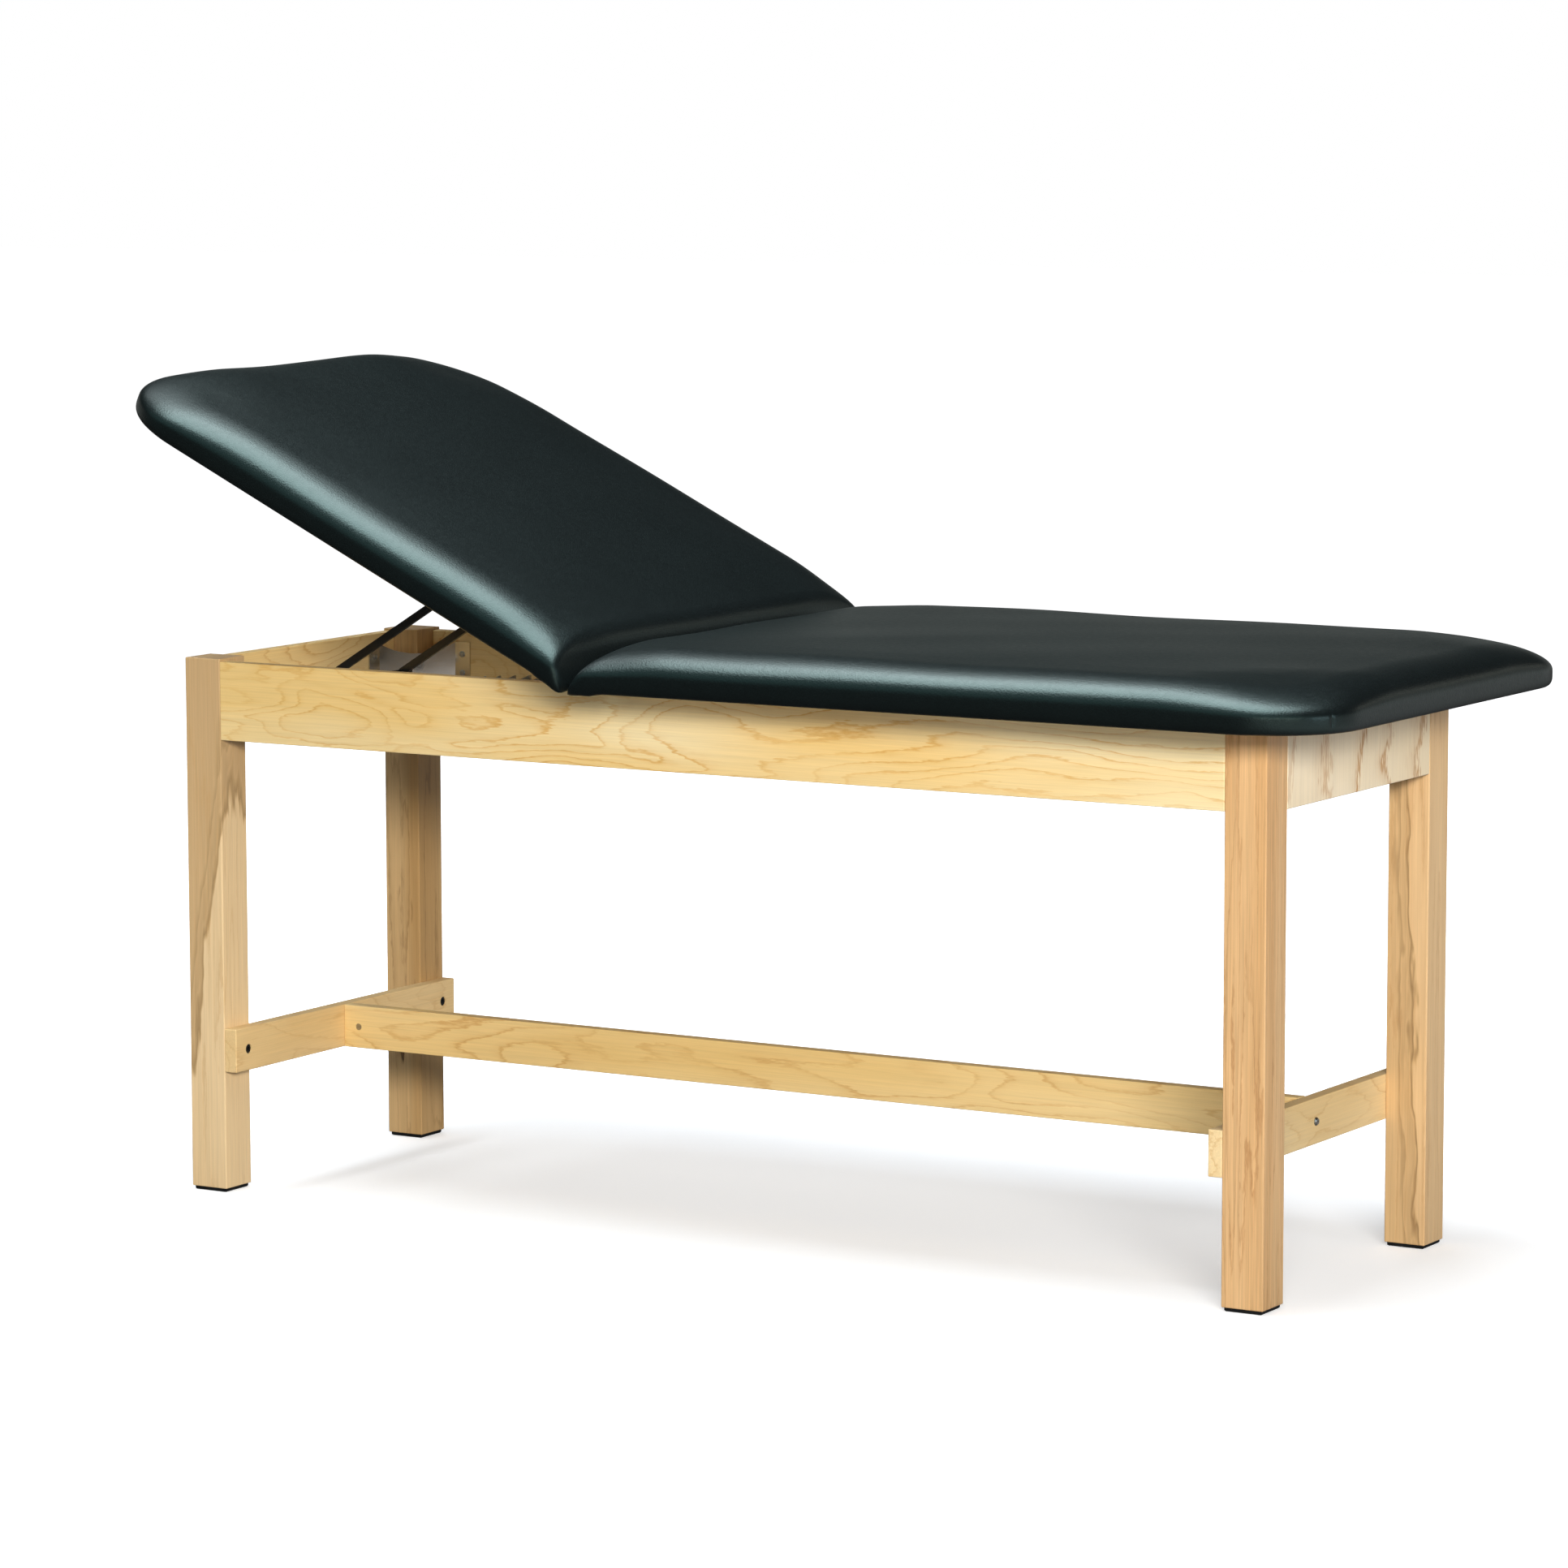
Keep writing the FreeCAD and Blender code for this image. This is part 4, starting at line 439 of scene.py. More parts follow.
@dataclass(frozen=True)
class Metal:
    """Bare or plated steel: the look comes from the plating's colour and how fine its lines are.

    The brush lines' cells along X, Y and Z, in millimetres, are coarser than real ones, so that they show.
    """

    name: str
    colour: str
    dull: str
    roughness: float
    brushed: Place = (16.667, 16.667, 1.1111)
    relief: float = 0.15
    depth: float = 0.3
    cloud: float = 22.222
    uneven: tuple[float, float] = (0.07, 0.1)

    def make(self) -> bpy.types.Material:
        """Builds the material.

        Returns:
            A metallic node material with brush lines in Object coordinates.
        """
        material, tree, output = new_material(self.name)
        place = add_node(tree, "TexCoord").outputs["Object"]
        fineness = tuple(1 / (size * MM) for size in self.brushed)
        lines_place = add_node(tree, "Mapping", {"Vector": place, "Scale": fineness}).outputs[0]
        lines = add_node(tree, "TexNoise", {"Vector": lines_place, "Scale": 1.0, "Detail": 3.0}).outputs[0]
        cloud = add_node(tree, "TexNoise", {"Vector": place, "Scale": 1 / (self.cloud * MM),
                                            "Detail": 4.0}).outputs[0]
        tone = add_node(tree, "MixRGB", {"Fac": cloud, "Color1": linear(self.colour),
                                         "Color2": linear(self.dull)}).outputs[0]
        below, above = self.uneven
        spread = Fade(0.0, 1.0, self.roughness - below, self.roughness + above)
        rough = add_node(tree, "MapRange", spread.of(lines)).outputs[0]
        bump = add_node(tree, "Bump", {"Height": lines, "Strength": self.relief,
                                       "Distance": self.depth * MM}).outputs[0]
        shader = add_node(tree, "BsdfPrincipled", {"Base Color": tone, "Roughness": rough, "Metallic": 1.0,
                                                   "Normal": bump})
        tree.links.new(shader.outputs[0], output.inputs["Surface"])
        return material


@dataclass(frozen=True)
class Coating:
    """Enamel, black oxide or moulded nylon: an opaque skin with a slight orange peel."""

    name: str
    colour: str
    wear: str
    roughness: float
    peel: float = 1.6
    relief: float = 0.12
    depth: float = 0.2
    cloud: float = 33.333
    worn_part: Fade = Fade(0.45, 0.75)
    uneven: tuple[float, float] = (0.05, 0.1)
    gloss: float = 0.0

    def make(self) -> bpy.types.Material:
        """Builds the material.

        Returns:
            A node material with peel and slight wear in Object coordinates.
        """
        material, tree, output = new_material(self.name)
        place = add_node(tree, "TexCoord").outputs["Object"]
        peel = add_node(tree, "TexNoise", {"Vector": place, "Scale": 1 / (self.peel * MM),
                                           "Detail": 2.0}).outputs[0]
        cloud = add_node(tree, "TexNoise", {"Vector": place, "Scale": 1 / (self.cloud * MM),
                                            "Detail": 4.0}).outputs[0]
        worn = add_node(tree, "MapRange", self.worn_part.of(cloud)).outputs[0]
        tone = add_node(tree, "MixRGB", {"Fac": worn, "Color1": linear(self.colour),
                                         "Color2": linear(self.wear)}).outputs[0]
        below, above = self.uneven
        spread = Fade(0.0, 1.0, self.roughness - below, self.roughness + above)
        rough = add_node(tree, "MapRange", spread.of(cloud)).outputs[0]
        bump = add_node(tree, "Bump", {"Height": peel, "Strength": self.relief,
                                       "Distance": self.depth * MM}).outputs[0]
        shader = add_node(tree, "BsdfPrincipled", {"Base Color": tone, "Roughness": rough, "Normal": bump,
                                                   "Coat Weight": self.gloss, "Coat Roughness": 0.15})
        tree.links.new(shader.outputs[0], output.inputs["Surface"])
        return material


VINYL = Vinyl()
ZINC = Metal("bright zinc-plated steel", "#c8c8c6", "#a9aaa9", 0.3)
BRACE_STEEL = Metal("brushed nickel-plated steel sheet", "#dcd9d3", "#c4c0b9", 0.2, (40.0, 40.0, 2.0), 0.04)
ENAMEL = Coating("gloss black enamel", "#0c0d0e", "#151617", 0.32, gloss=0.3)
OXIDE = Coating("black oxide steel", "#101112", "#25262a", 0.42)
NYLON = Coating("moulded black nylon", "#0f0f10", "#1b1b1c", 0.55, peel=1.0)

RAIL = ("#f3d69b", "#ecc882", "#c99045")
INNER = ("#d9bd8f", "#cfae7d", "#a8824f")
PLYWOOD = ("#d8bb8b", "#cba975", "#a67f4c")
VENEER = {"cell_along": 260.0, "cell_across": 130.0, "lines_per_cell": 5.0}
TIMBERS = {
    "side_rail_near": Timber("flat-sawn birch near rail", "#f4e3b6", "#efce8a", "#d9a550", drift=0.22,
                             seed=(0.31, 0.05, 0.12), cell_along=300.0, cell_across=64.0, lines_per_cell=7.5,
                             line_strength=0.8, sweep=(0.0, 0.0, 60.0), sweep_zero=39.5, detail=2.0),
    "side_rail_far": Timber("flat-sawn birch far rail", *RAIL, seed=(2.3, 0.4, 0.7), cell_across=70.0),
    "end_rail_head": Timber("flat-sawn birch head rail", *RAIL, grain=Grain.ACROSS, seed=(1.2, 3.1, 0.3)),
    "end_rail_foot": Timber("flat-sawn birch foot rail", "#f7e8cc", "#f3dfba", "#bd8a4e", grain=Grain.UPRIGHT,
                            seed=(0.7, 2.2, 1.9), cell_along=70.0, cell_across=160.0, lines_per_cell=1.6,
                            line_strength=0.95, sweep=(0.0, 11.0, 0.0), detail=2.0),
    "centre_stretcher": Timber("flat-sawn birch stretcher", *RAIL, seed=(4.1, 1.2, 2.6), cell_along=320.0,
                               cell_across=58.0, lines_per_cell=4.5),
    "end_stretcher_head": Timber("birch head stretcher", "#eccf9c", "#e4c288", "#c18e4c", grain=Grain.ACROSS,
                                 seed=(1.9, 0.6, 3.3), lines_per_cell=4.0, line_strength=0.4),
    "end_stretcher_foot": Timber("birch foot stretcher", "#efd6a6", "#e8c88f", "#c79650", grain=Grain.ACROSS,
                                 seed=(5.2, 1.4, 0.2), lines_per_cell=4.0, line_strength=0.45),
    "leg_head_near": Timber("quarter-sawn birch leg, head near", "#ecd0a4", "#e6c797", "#c99d63",
                            grain=Grain.UPRIGHT, seed=(0.9, 0.2, 0.1), cell_along=500.0, cell_across=30.0,
                            lines_per_cell=3.0, line_strength=0.35, fibre=0.14,
                            heart_and_shade=HeartAndShade((-811.0, -257.5, 300.0), (0.97, 0.05, -0.15), 26.0,
                                        "#cfae80", "#a08358")),
    # The head-far leg's darker colours are partly its own tone and partly painted shade, and its darker zone
    # with near-black streaks is painted shade over its near face.
    "leg_head_far": Timber("quarter-sawn birch leg, head far", "#cdab7a", "#b9935f", "#7d5a30",
                           grain=Grain.UPRIGHT, seed=(3.9, 0.7, 0.5), cell_along=500.0, cell_across=30.0,
                           lines_per_cell=3.0, line_strength=0.45, fibre=0.16,
                           heart_and_shade=HeartAndShade((-811.0, 193.0, 360.0), (0.0, 1.0, 0.01), 10.0,
                                       "#8e6c43", "#543c1f")),
    "leg_foot_near": Timber("quarter-sawn birch leg, foot near", "#e2bb8a", "#d8aa74", "#ae7a48",
                            grain=Grain.UPRIGHT, seed=(6.1, 0.3, 0.9), cell_along=620.0, cell_across=22.0,
                            lines_per_cell=3.5, line_strength=0.6, fibre=0.24),
    "leg_foot_far": Timber("quarter-sawn birch leg, foot far", "#e9c696", "#dfb683", "#bd8b55",
                           grain=Grain.UPRIGHT, seed=(7.7, 1.3, 0.4), cell_along=520.0, cell_across=28.0,
                           lines_per_cell=3.0, line_strength=0.45, fibre=0.15,
                           heart_and_shade=HeartAndShade((727.0, 201.5, 420.0), (0.99, 0.02, 0.035), 22.0,
                                       "#dcb785", "#94744c")),
    "cross_rail": Timber("sanded inner hardwood rail", *INNER, grain=Grain.ACROSS, seed=(1.1, 1.6, 0.7)),
    "rack_beam": Timber("sanded inner hardwood beam", *INNER, seed=(8.8, 1.6, 0.7)),
    "body_board": Timber("birch plywood body board", *PLYWOOD, seed=(5.5, 2.1, 0.1), **VENEER),
    "backrest_board": Timber("birch plywood back board", *PLYWOOD, seed=(9.5, 3.1, 0.6), **VENEER),
}
FITTINGS = {
    BRACE_STEEL: ("corner_brace_foot_far", "corner_brace_foot_near", "corner_brace_head_far",
                  "corner_brace_head_near"),
    ZINC: ("angle_brackets", "angle_screws", "backrest_hinge_screws", "barrel_nuts", "beam_screws",
           "body_hinge_screws", "brace_screws", "centre_bolts", "clevis_pins", "glide_nails",
           "hanger_bolts", "hanger_nuts", "hanger_washers", "hinge_leaf_backrest_far",
           "hinge_leaf_backrest_near", "hinge_leaf_body_far", "hinge_leaf_body_near", "hinge_pins",
           "prop_bracket_screws", "rack_screws", "ratchet_rack_far", "ratchet_rack_near",
           "retaining_rings"),
    ENAMEL: ("foot_rod", "prop_arm_far", "prop_arm_near", "prop_bracket_far", "prop_bracket_near"),
    OXIDE: ("stretcher_bolts",),
    NYLON: ("leg_glides", "foot_caps"),
}


# Mesh helpers


def add_piece(name: str, points: np.ndarray, faces: np.ndarray,
              material: bpy.types.Material) -> bpy.types.Object:
    """Makes a smooth mesh piece in the shared frame.

    Args:
        name: The piece's name.
        points: Rows of x, y, z in millimetres.
        faces: Rows of four point numbers, outwards by the right hand.
        material: Its material.

    Returns:
        The object, at the origin, with its place in its mesh.
    """
    mesh = bpy.data.meshes.new(name)
    mesh.from_pydata((points * MM).tolist(), [], faces.tolist())
    mesh.polygons.foreach_set("use_smooth", np.ones(len(faces), bool))
    mesh.materials.append(material)
    mesh.update()
    piece = bpy.data.objects.new(name, mesh)
    bpy.context.scene.collection.objects.link(piece)
    return piece


def read_points(mesh: bpy.types.Mesh) -> np.ndarray:
    """Returns a mesh's points as rows of x, y, z in metres."""
    flat = np.empty(len(mesh.vertices) * 3, np.float32)
    mesh.vertices.foreach_get("co", flat)
    return flat.reshape(-1, 3).astype(float)


def write_points(mesh: bpy.types.Mesh, points: np.ndarray) -> None:
    """Puts rows of x, y, z in metres into a mesh."""
    mesh.vertices.foreach_set("co", points.astype(np.float32).ravel())
    mesh.update()


def grid_faces(numbers: np.ndarray) -> np.ndarray:
    """Quads of a grid of point numbers, outwards where rows run left to right and columns away.

    Args:
        numbers: Point numbers, one row and column per grid line.

    Returns:
        Rows of four point numbers.
    """
    low, high = numbers[:-1, :-1], numbers[1:, :-1]
    return np.stack([low, high, numbers[1:, 1:], numbers[:-1, 1:]], -1).reshape(-1, 4)


def band_faces(above: np.ndarray, below: np.ndarray) -> np.ndarray:
    """Quads of the closed band between two rings of point numbers."""
    return np.stack([above, below, np.roll(below, -1), np.roll(above, -1)], -1)


# Cushions


class End(Enum):
    """Which end of the table a cushion reaches, as the sign of X."""

    FOOT = 1
    HEAD = -1


@dataclass(frozen=True)
class Level:
    """One outline around a cushion, all at one height, in millimetres.

    Its inset counts from the far end and the two sides, and hinge_end is the X of its near end.
    """

    height: float
    inset: float
    hinge_end: float
    near_round: float
    far_round: float


@dataclass(frozen=True)
class Pleat:
    """The fold that takes up the cover at a rounded corner, in millimetres.

    It stands at an angle, in degrees, from the cushion's side.
    """

    angle: float = 64.0
    depth: float = 2.8
    width: float = 1.9
    lip: float = 0.5
    lip_away: float = 5.0
    lip_width: float = 2.8
    foot: float = 4.0
    rise_share: float = 0.55
    margin: float = 8.0

    def push(self, run: np.ndarray, height: np.ndarray, rim: float) -> np.ndarray:
        """How far it moves the cover outwards: a narrow valley with a low lip beside it.

        The valley is -depth exp(-(run / width)²), the lip is lip exp(-((run + lip_away) / lip_width)²),
        and both fade out from the foot up, over a share of the rim's height.

        Args:
            run: Way along the corner's arc from the pleat.
            height: Height over the board's underside.
            rim: Height of the cushion's rim.

        Returns:
            The outward moves.
        """
        valley = (-self.depth * np.exp(-(run / self.width) ** 2)
                  + self.lip * np.exp(-((run + self.lip_away) / self.lip_width) ** 2))
        return valley * (1 - smooth_step((height - self.foot) / (rim * self.rise_share)))


@dataclass(frozen=True)
class Fold:
    """A loose lobe of the cover that hangs down by depth at x, and fades out over its reach."""

    x: float
    depth: float
    reach: float


@dataclass(frozen=True)
class Bump:
    """A place where the stuffing stands up by height, or sinks, and fades out over its reach."""

    x: float
    y: float
    height: float
    reach: float


@dataclass
class Cushion:
    """One vinyl-covered foam cushion with its recess for the board, in millimetres and degrees.

    Its own frame has X from the hinge line towards the far end, Z up from the board's underside.
    The hinge is given by its X and Z in the table's frame, and hinge_rise is the board's underside over it.
    The edge is the turned lower edge, as heights and insets. The lines beside a pleat are places along the
    side. The pulls drop the cover by the distance from a corner, and keep_up and keep_along are the share
    of the swelling that stays, by the height and by the way from the hinge line.
    """

    name: str
    node: str
    body: str
    end: End
    length: float
    tilt: float
    phase: float
    hinge: tuple[float, float] = (-167.1616, 709.8)
    hinge_rise: float = 4.5
    width: float = 768.0
    corner_round: float = 118.0
    hinge_round: float = 6.0
    roll: float = 68.0
    roll_start: float = 86.5
    roll_levels: int = 15
    upright: float = 23.0
    rim: float = 59.0
    crown: float = 5.0
    edge: tuple[tuple[float, float], ...] = ((14.0, 0.0), (8.0, 0.2), (4.0, 1.2), (1.3, 3.2), (0.0, 6.0))
    bevel: float = 32.0
    bevel_height: float = 42.0
    nose_start: float = 3.1
    board_margin: float = 12.0
    board_setback: float = 20.0
    board_room: float = 18.1
    recess_round: float = 2.0
    step: float = 12.0
    pleat: Pleat = Pleat()
    pleat_share: float = 0.42
    pleat_lines: tuple[float, ...] = (-9.0, -5.5, -3.0, -1.2, 0.6, 2.4, 5.0, 8.5)
    line_gap: float = 1.75
    wave_height: float = 0.45
    wave_runs: tuple[float, float, float, float] = (61.0, 83.0, 47.0, 71.0)
    corner_pull: Fade = Fade(40.0, 230.0, 10.0, 0.0)
    hinge_pull: Fade = Fade(20.0, 150.0, 9.0, 0.0)
    fold_side: Fade = Fade(8.0, 30.0, 1.0, 0.0)
    fold_height: Fade = Fade(0.0, 12.0, 1.0, 0.0)
    folds: tuple[Fold, ...] = ()
    bumps: tuple[Bump, ...] = ()
    frames: int = 20
    swell: float = 2.0
    keep_up: Fade = Fade(10.0, 50.0)
    keep_along: Fade = Fade(40.0, 120.0, 0.3)
    passes: int = 120

    def lines(self, span: float, both_ends: bool) -> np.ndarray:
        """Grid line places from -1 to 1 along one side: even ones, and closer ones at the pleats.

        Args:
            span: The side's length.
            both_ends: Whether the low end has a rounded corner with a pleat too.

        Returns:
            Rising places from -1 to 1.
        """
        per_mm = 2 / span
        even = np.linspace(-1, 1, round(span / self.step) + 1)
        extra = 1 + (np.array(self.pleat_lines) - self.corner_round * self.pleat_share) * per_mm
        if both_ends:
            extra = np.concatenate([extra, -extra])
        kept = even[np.min(np.abs(even[:, None] - extra[None]), 1) > self.line_gap * per_mm]
        return np.sort(np.concatenate([kept, extra]))

    def outline(self, a: np.ndarray, b: np.ndarray, level: Level) -> tuple[np.ndarray, np.ndarray]:
        """Carries the rim of the square -1..1 onto a rectangle with round corners.

        On each side the straight run keeps its even spacing, and the last part, as long as
        the radius, wraps onto half of the corner's arc: x = h - r + r sin t, y = k - r + r cos t.

        Args:
            a: Square place along X, with b on the rim.
            b: Square place along Y.
            level: The rectangle.

        Returns:
            X and Y of each point.
        """
        far_end = self.length - level.inset
        middle, half_x = (level.hinge_end + far_end) / 2, (far_end - level.hinge_end) / 2
        half_y = self.width / 2 - level.inset
        radius = np.where(a > 0, level.far_round, level.near_round)
        on_long = np.abs(b) >= np.abs(a)
        along = np.where(on_long, a, b)
        reach = np.where(on_long, half_x, half_y)
        other = np.where(on_long, half_y, half_x)
        share = radius / reach
        turn = np.clip((np.abs(along) - 1 + share) / share, 0, 1) * math.pi / 4
        rounded = np.abs(along) > 1 - share
        run = np.where(rounded, reach - radius + radius * np.sin(turn), np.abs(along) * reach)
        run = run * np.sign(along)
        rise = np.where(rounded, other - radius + radius * np.cos(turn), other)
        x = np.where(on_long, run, np.sign(a) * rise)
        y = np.where(on_long, np.sign(b) * rise, run)
        return middle + x, y

    def nose(self, height: np.ndarray) -> np.ndarray:
        """How far the hinge end stands back: a straight bevel, then one arc up to the rim.

        Args:
            height: Height over the board's underside.

        Returns:
            X of the hinge end.
        """
        lean = math.radians(self.bevel)
        radius = (self.rim - self.bevel_height) / (1 - math.sin(lean))
        bend = np.arccos(np.clip(math.sin(lean) + (height - self.bevel_height) / radius, -1, 1))
        run = np.where(height <= self.bevel_height, 0, radius * (math.cos(lean) - np.sin(bend)))
        return self.nose_start + np.minimum(height, self.bevel_height) * math.tan(lean) + run

    def side_levels(self) -> list[Level]:
        """Levels of the cover's side, from the rim down to the tuck under the board.

        The roll is a quarter of an ellipse, upright high over the underside, and the cover turns
        under the board's edge. A corner's radius changes by half of the inset.

        Returns:
            One level per ring, the top's own first.
        """
        turn = np.radians(np.linspace(self.roll_start, 0, self.roll_levels))
        roll_heights = self.upright + (self.rim - self.upright) * np.sin(turn)
        edge_heights, edge_insets = np.array(self.edge).T
        heights = np.concatenate([roll_heights, edge_heights])
        insets = np.concatenate([self.roll * (1 - np.cos(turn)), edge_insets])
        return [Level(*row) for row in zip(heights, insets, self.nose(heights),
                                           self.hinge_round + insets / 2, self.corner_round - insets / 2)]

    def fill(self, a: np.ndarray, b: np.ndarray, level: Level) -> np.ndarray:
        """Fills a level's outline: every ring is the outline drawn in towards its middle.

        Args:
            a: Grid places from -1 to 1 along X.
            b: Grid places from -1 to 1 along Y.
            level: The level.

        Returns:
            A grid of x, y, z.
        """
        reach = np.maximum(np.maximum(np.abs(a), np.abs(b)), np.finfo(np.float32).tiny)
        x, y = self.outline(a / reach, b / reach, level)
        middle = (level.hinge_end + self.length - level.inset) / 2
        return np.stack([middle + (x - middle) * reach, y * reach, np.full_like(x, level.height)], -1)

    def build_surface(self) -> tuple[np.ndarray, np.ndarray, np.ndarray]:
        """Works out the closed surface: crowned top, rolled sides, turned edge and the board's recess.

        The top is raised by crown × (1 − r²), where r goes from 0 in its middle to 1 on the rim.

        Returns:
            Points in the cushion's own frame, faces, and which points rest on the board.
        """
        a, b = np.meshgrid(self.lines(self.length, False), self.lines(self.width, True), indexing="ij")
        rows, columns = a.shape
        numbers = np.arange(a.size).reshape(rows, columns)
        ring = np.concatenate([numbers[:, 0], numbers[-1, 1:], numbers[-2::-1, -1], numbers[0, -2:0:-1]])
        ring_a, ring_b = a.reshape(-1)[ring], b.reshape(-1)[ring]

        levels = self.side_levels()
        mouth, ceiling = (Level(height, self.board_margin, self.board_setback, self.recess_round,
                                self.corner_round - self.board_margin) for height in (0.0, self.board_room))
        top = self.fill(a, b, levels[0])
        top[..., 2] += self.crown * (1 - np.maximum(np.abs(a), np.abs(b)) ** 2)
        points, rings = [top.reshape(-1, 3)], [ring]
        for level in (*levels[1:], mouth):
            x, y = self.outline(ring_a, ring_b, level)
            rings.append(sum(len(part) for part in points) + np.arange(len(ring)))
            points.append(np.stack([x, y, np.full_like(x, level.height)], -1))
        ceiling_numbers = sum(len(part) for part in points) + numbers
        rings.append(ceiling_numbers.reshape(-1)[ring])
        points.append(self.fill(a, b, ceiling).reshape(-1, 3))
        bands = [band_faces(above, below) for above, below in zip(rings, rings[1:])]
        faces = np.concatenate([grid_faces(numbers), *bands, grid_faces(ceiling_numbers)[:, ::-1]])
        points = np.concatenate(points)

        # The turned edge rests on the board, but for its uppermost ring, and so does the recess.
        held = np.zeros(len(points), bool)
        held[a.size + len(ring) * (len(levels) - len(self.edge)):] = True
        return points, faces, held

    def waves(self, x: np.ndarray, y: np.ndarray) -> np.ndarray:
        """Slow waves, 200 to 520 mm long: a product of two sines and two slanting ones.

        Args:
            x: Way from the hinge line.
            y: Way from the middle.

        Returns:
            Heights from -2.2 to 2.2.
        """
        along, across, slant, steep = self.wave_runs
        return (np.sin(x / along + self.phase) * np.sin(y / across + 1.3 * self.phase)
                + 0.7 * np.sin((x + y) / slant + 2 * self.phase)
                + 0.5 * np.sin((x - 2 * y) / steep + self.phase))

    def shape_cover(self, points: np.ndarray, held: np.ndarray) -> np.ndarray:
        """Adds what the stretched cover shows: waves, pulls to the four corners, pleats, folds and bumps.

        A fold hangs down by depth exp(-((x - x0) / reach)²) along the lower edge, and a bump stands up by
        height exp(-(distance / reach)²). Waves, pulls and bumps come in with the height.

        Args:
            points: Points in the cushion's own frame.
            held: Which points rest on the board.

        Returns:
            The moved points.
        """
        x, y, z = points.T
        half = self.width / 2
        lift = np.where(held, 0, smooth_step(z / self.rim))
        moved = points.copy()
        moved[:, 2] += self.wave_height * self.waves(x, y) * lift

        for side in (-1, 1):
            # Outward direction and run around the rounded corner.
            off_x = x - self.length + self.corner_round
            off_y = y * side - half + self.corner_round
            distance = np.maximum(np.hypot(off_x, off_y), 1)
            out = np.stack([off_x, off_y * side, np.zeros_like(x)], -1) / distance[:, None]
            run = (np.arctan2(off_x, off_y) - math.radians(self.pleat.angle)) * self.corner_round
            at_corner = (off_x > -self.pleat.margin) & (off_y > -self.pleat.margin) & ~held
            moved += (self.pleat.push(run, z, self.rim) * at_corner)[:, None] * out

            moved[:, 2] -= self.corner_pull.at(np.hypot(x - self.length, y * side - half)) * lift
            moved[:, 2] -= self.hinge_pull.at(np.hypot(x, y * side - half)) * lift

        low_edge = self.fold_side.at(half - np.abs(y)) * self.fold_height.at(z)
        for fold in self.folds:
            moved[:, 2] -= fold.depth * np.exp(-((x - fold.x) / fold.reach) ** 2) * low_edge
        for bump in self.bumps:
            away = np.hypot(x - bump.x, y - bump.y) / bump.reach
            moved[:, 2] += bump.height * np.exp(-away ** 2) * lift
        return moved

    def to_table(self, points: np.ndarray) -> np.ndarray:
        """Carries points from the cushion's own frame to the table's, turned about the hinge by the tilt.

        Args:
            points: Rows in the cushion's own frame.

        Returns:
            Rows in the table's frame.
        """
        x, y, z = points[:, 0] * self.end.value, points[:, 1], points[:, 2] + self.hinge_rise
        turn = math.radians(self.tilt)
        return np.stack([self.hinge[0] + x * math.cos(turn) + z * math.sin(turn), y,
                         self.hinge[1] - x * math.sin(turn) + z * math.cos(turn)], -1)

    def stuff(self, piece: bpy.types.Object, held: np.ndarray, free: np.ndarray) -> None:
        """Swells the cover with a short cloth simulation, of which the rise along the normals is kept.

        Args:
            piece: The cover.
            held: Points that rest on the board and stay.
            free: Share of the swelling that each point keeps, from 0 to 1.
        """
        scene = bpy.context.scene
        group = piece.vertex_groups.new(name="held")
        group.add(np.flatnonzero(held).tolist(), 1.0, "REPLACE")
        cloth = piece.modifiers.new("stuffing", "CLOTH")
        settings = cloth.settings
        settings.quality = 4
        settings.mass = 0.35
        settings.tension_stiffness = settings.compression_stiffness = 18
        settings.shear_stiffness = 6
        settings.bending_stiffness = 1.5
        settings.use_pressure = True
        settings.uniform_pressure_force = 4
        settings.vertex_group_mass = "held"
        settings.effector_weights.gravity = 0
        cloth.point_cache.frame_start, cloth.point_cache.frame_end = 1, self.frames
        start = read_points(piece.data)
        for number in range(1, self.frames + 1):
            scene.frame_set(number)
        ready = piece.evaluated_get(bpy.context.evaluated_depsgraph_get())
        move = read_points(ready.data) - start
        piece.modifiers.remove(cloth)
        scene.frame_set(1)
        normals = np.empty(start.size, np.float32)
        piece.data.vertices.foreach_get("normal", normals)
        normals = normals.reshape(-1, 3).astype(float)
        rise = np.clip((move * normals).sum(axis=1), 0, self.swell * MM)
        rise = self.even_out(piece.data, rise) * free
        write_points(piece.data, start + rise[:, None] * normals)
        LOG.info("%s swelled by %.1f mm at most", self.name, rise.max() / MM)

    def even_out(self, mesh: bpy.types.Mesh, rise: np.ndarray) -> np.ndarray:
        """Takes small wrinkles out: each pass takes the mean of a point's own rise and its neighbours'.

        A neighbour weighs one over its distance, so that the slope stays even where grid lines draw together.

        Args:
            mesh: The cover's mesh.
            rise: One rise per point.

        Returns:
            The evened rises.
        """
        ends = np.empty(len(mesh.edges) * 2, np.int32)
        mesh.edges.foreach_get("vertices", ends)
        first, second = ends.reshape(-1, 2).T
        points = read_points(mesh)
        weight = 1 / np.maximum(np.linalg.norm(points[first] - points[second], axis=1), MM)
        many = len(rise)
        whole = np.bincount(first, weight, many) + np.bincount(second, weight, many)
        for _ in range(self.passes):
            total = (np.bincount(first, weight * rise[second], many)
                     + np.bincount(second, weight * rise[first], many))
            rise = (rise + total / whole) / 2
        return rise

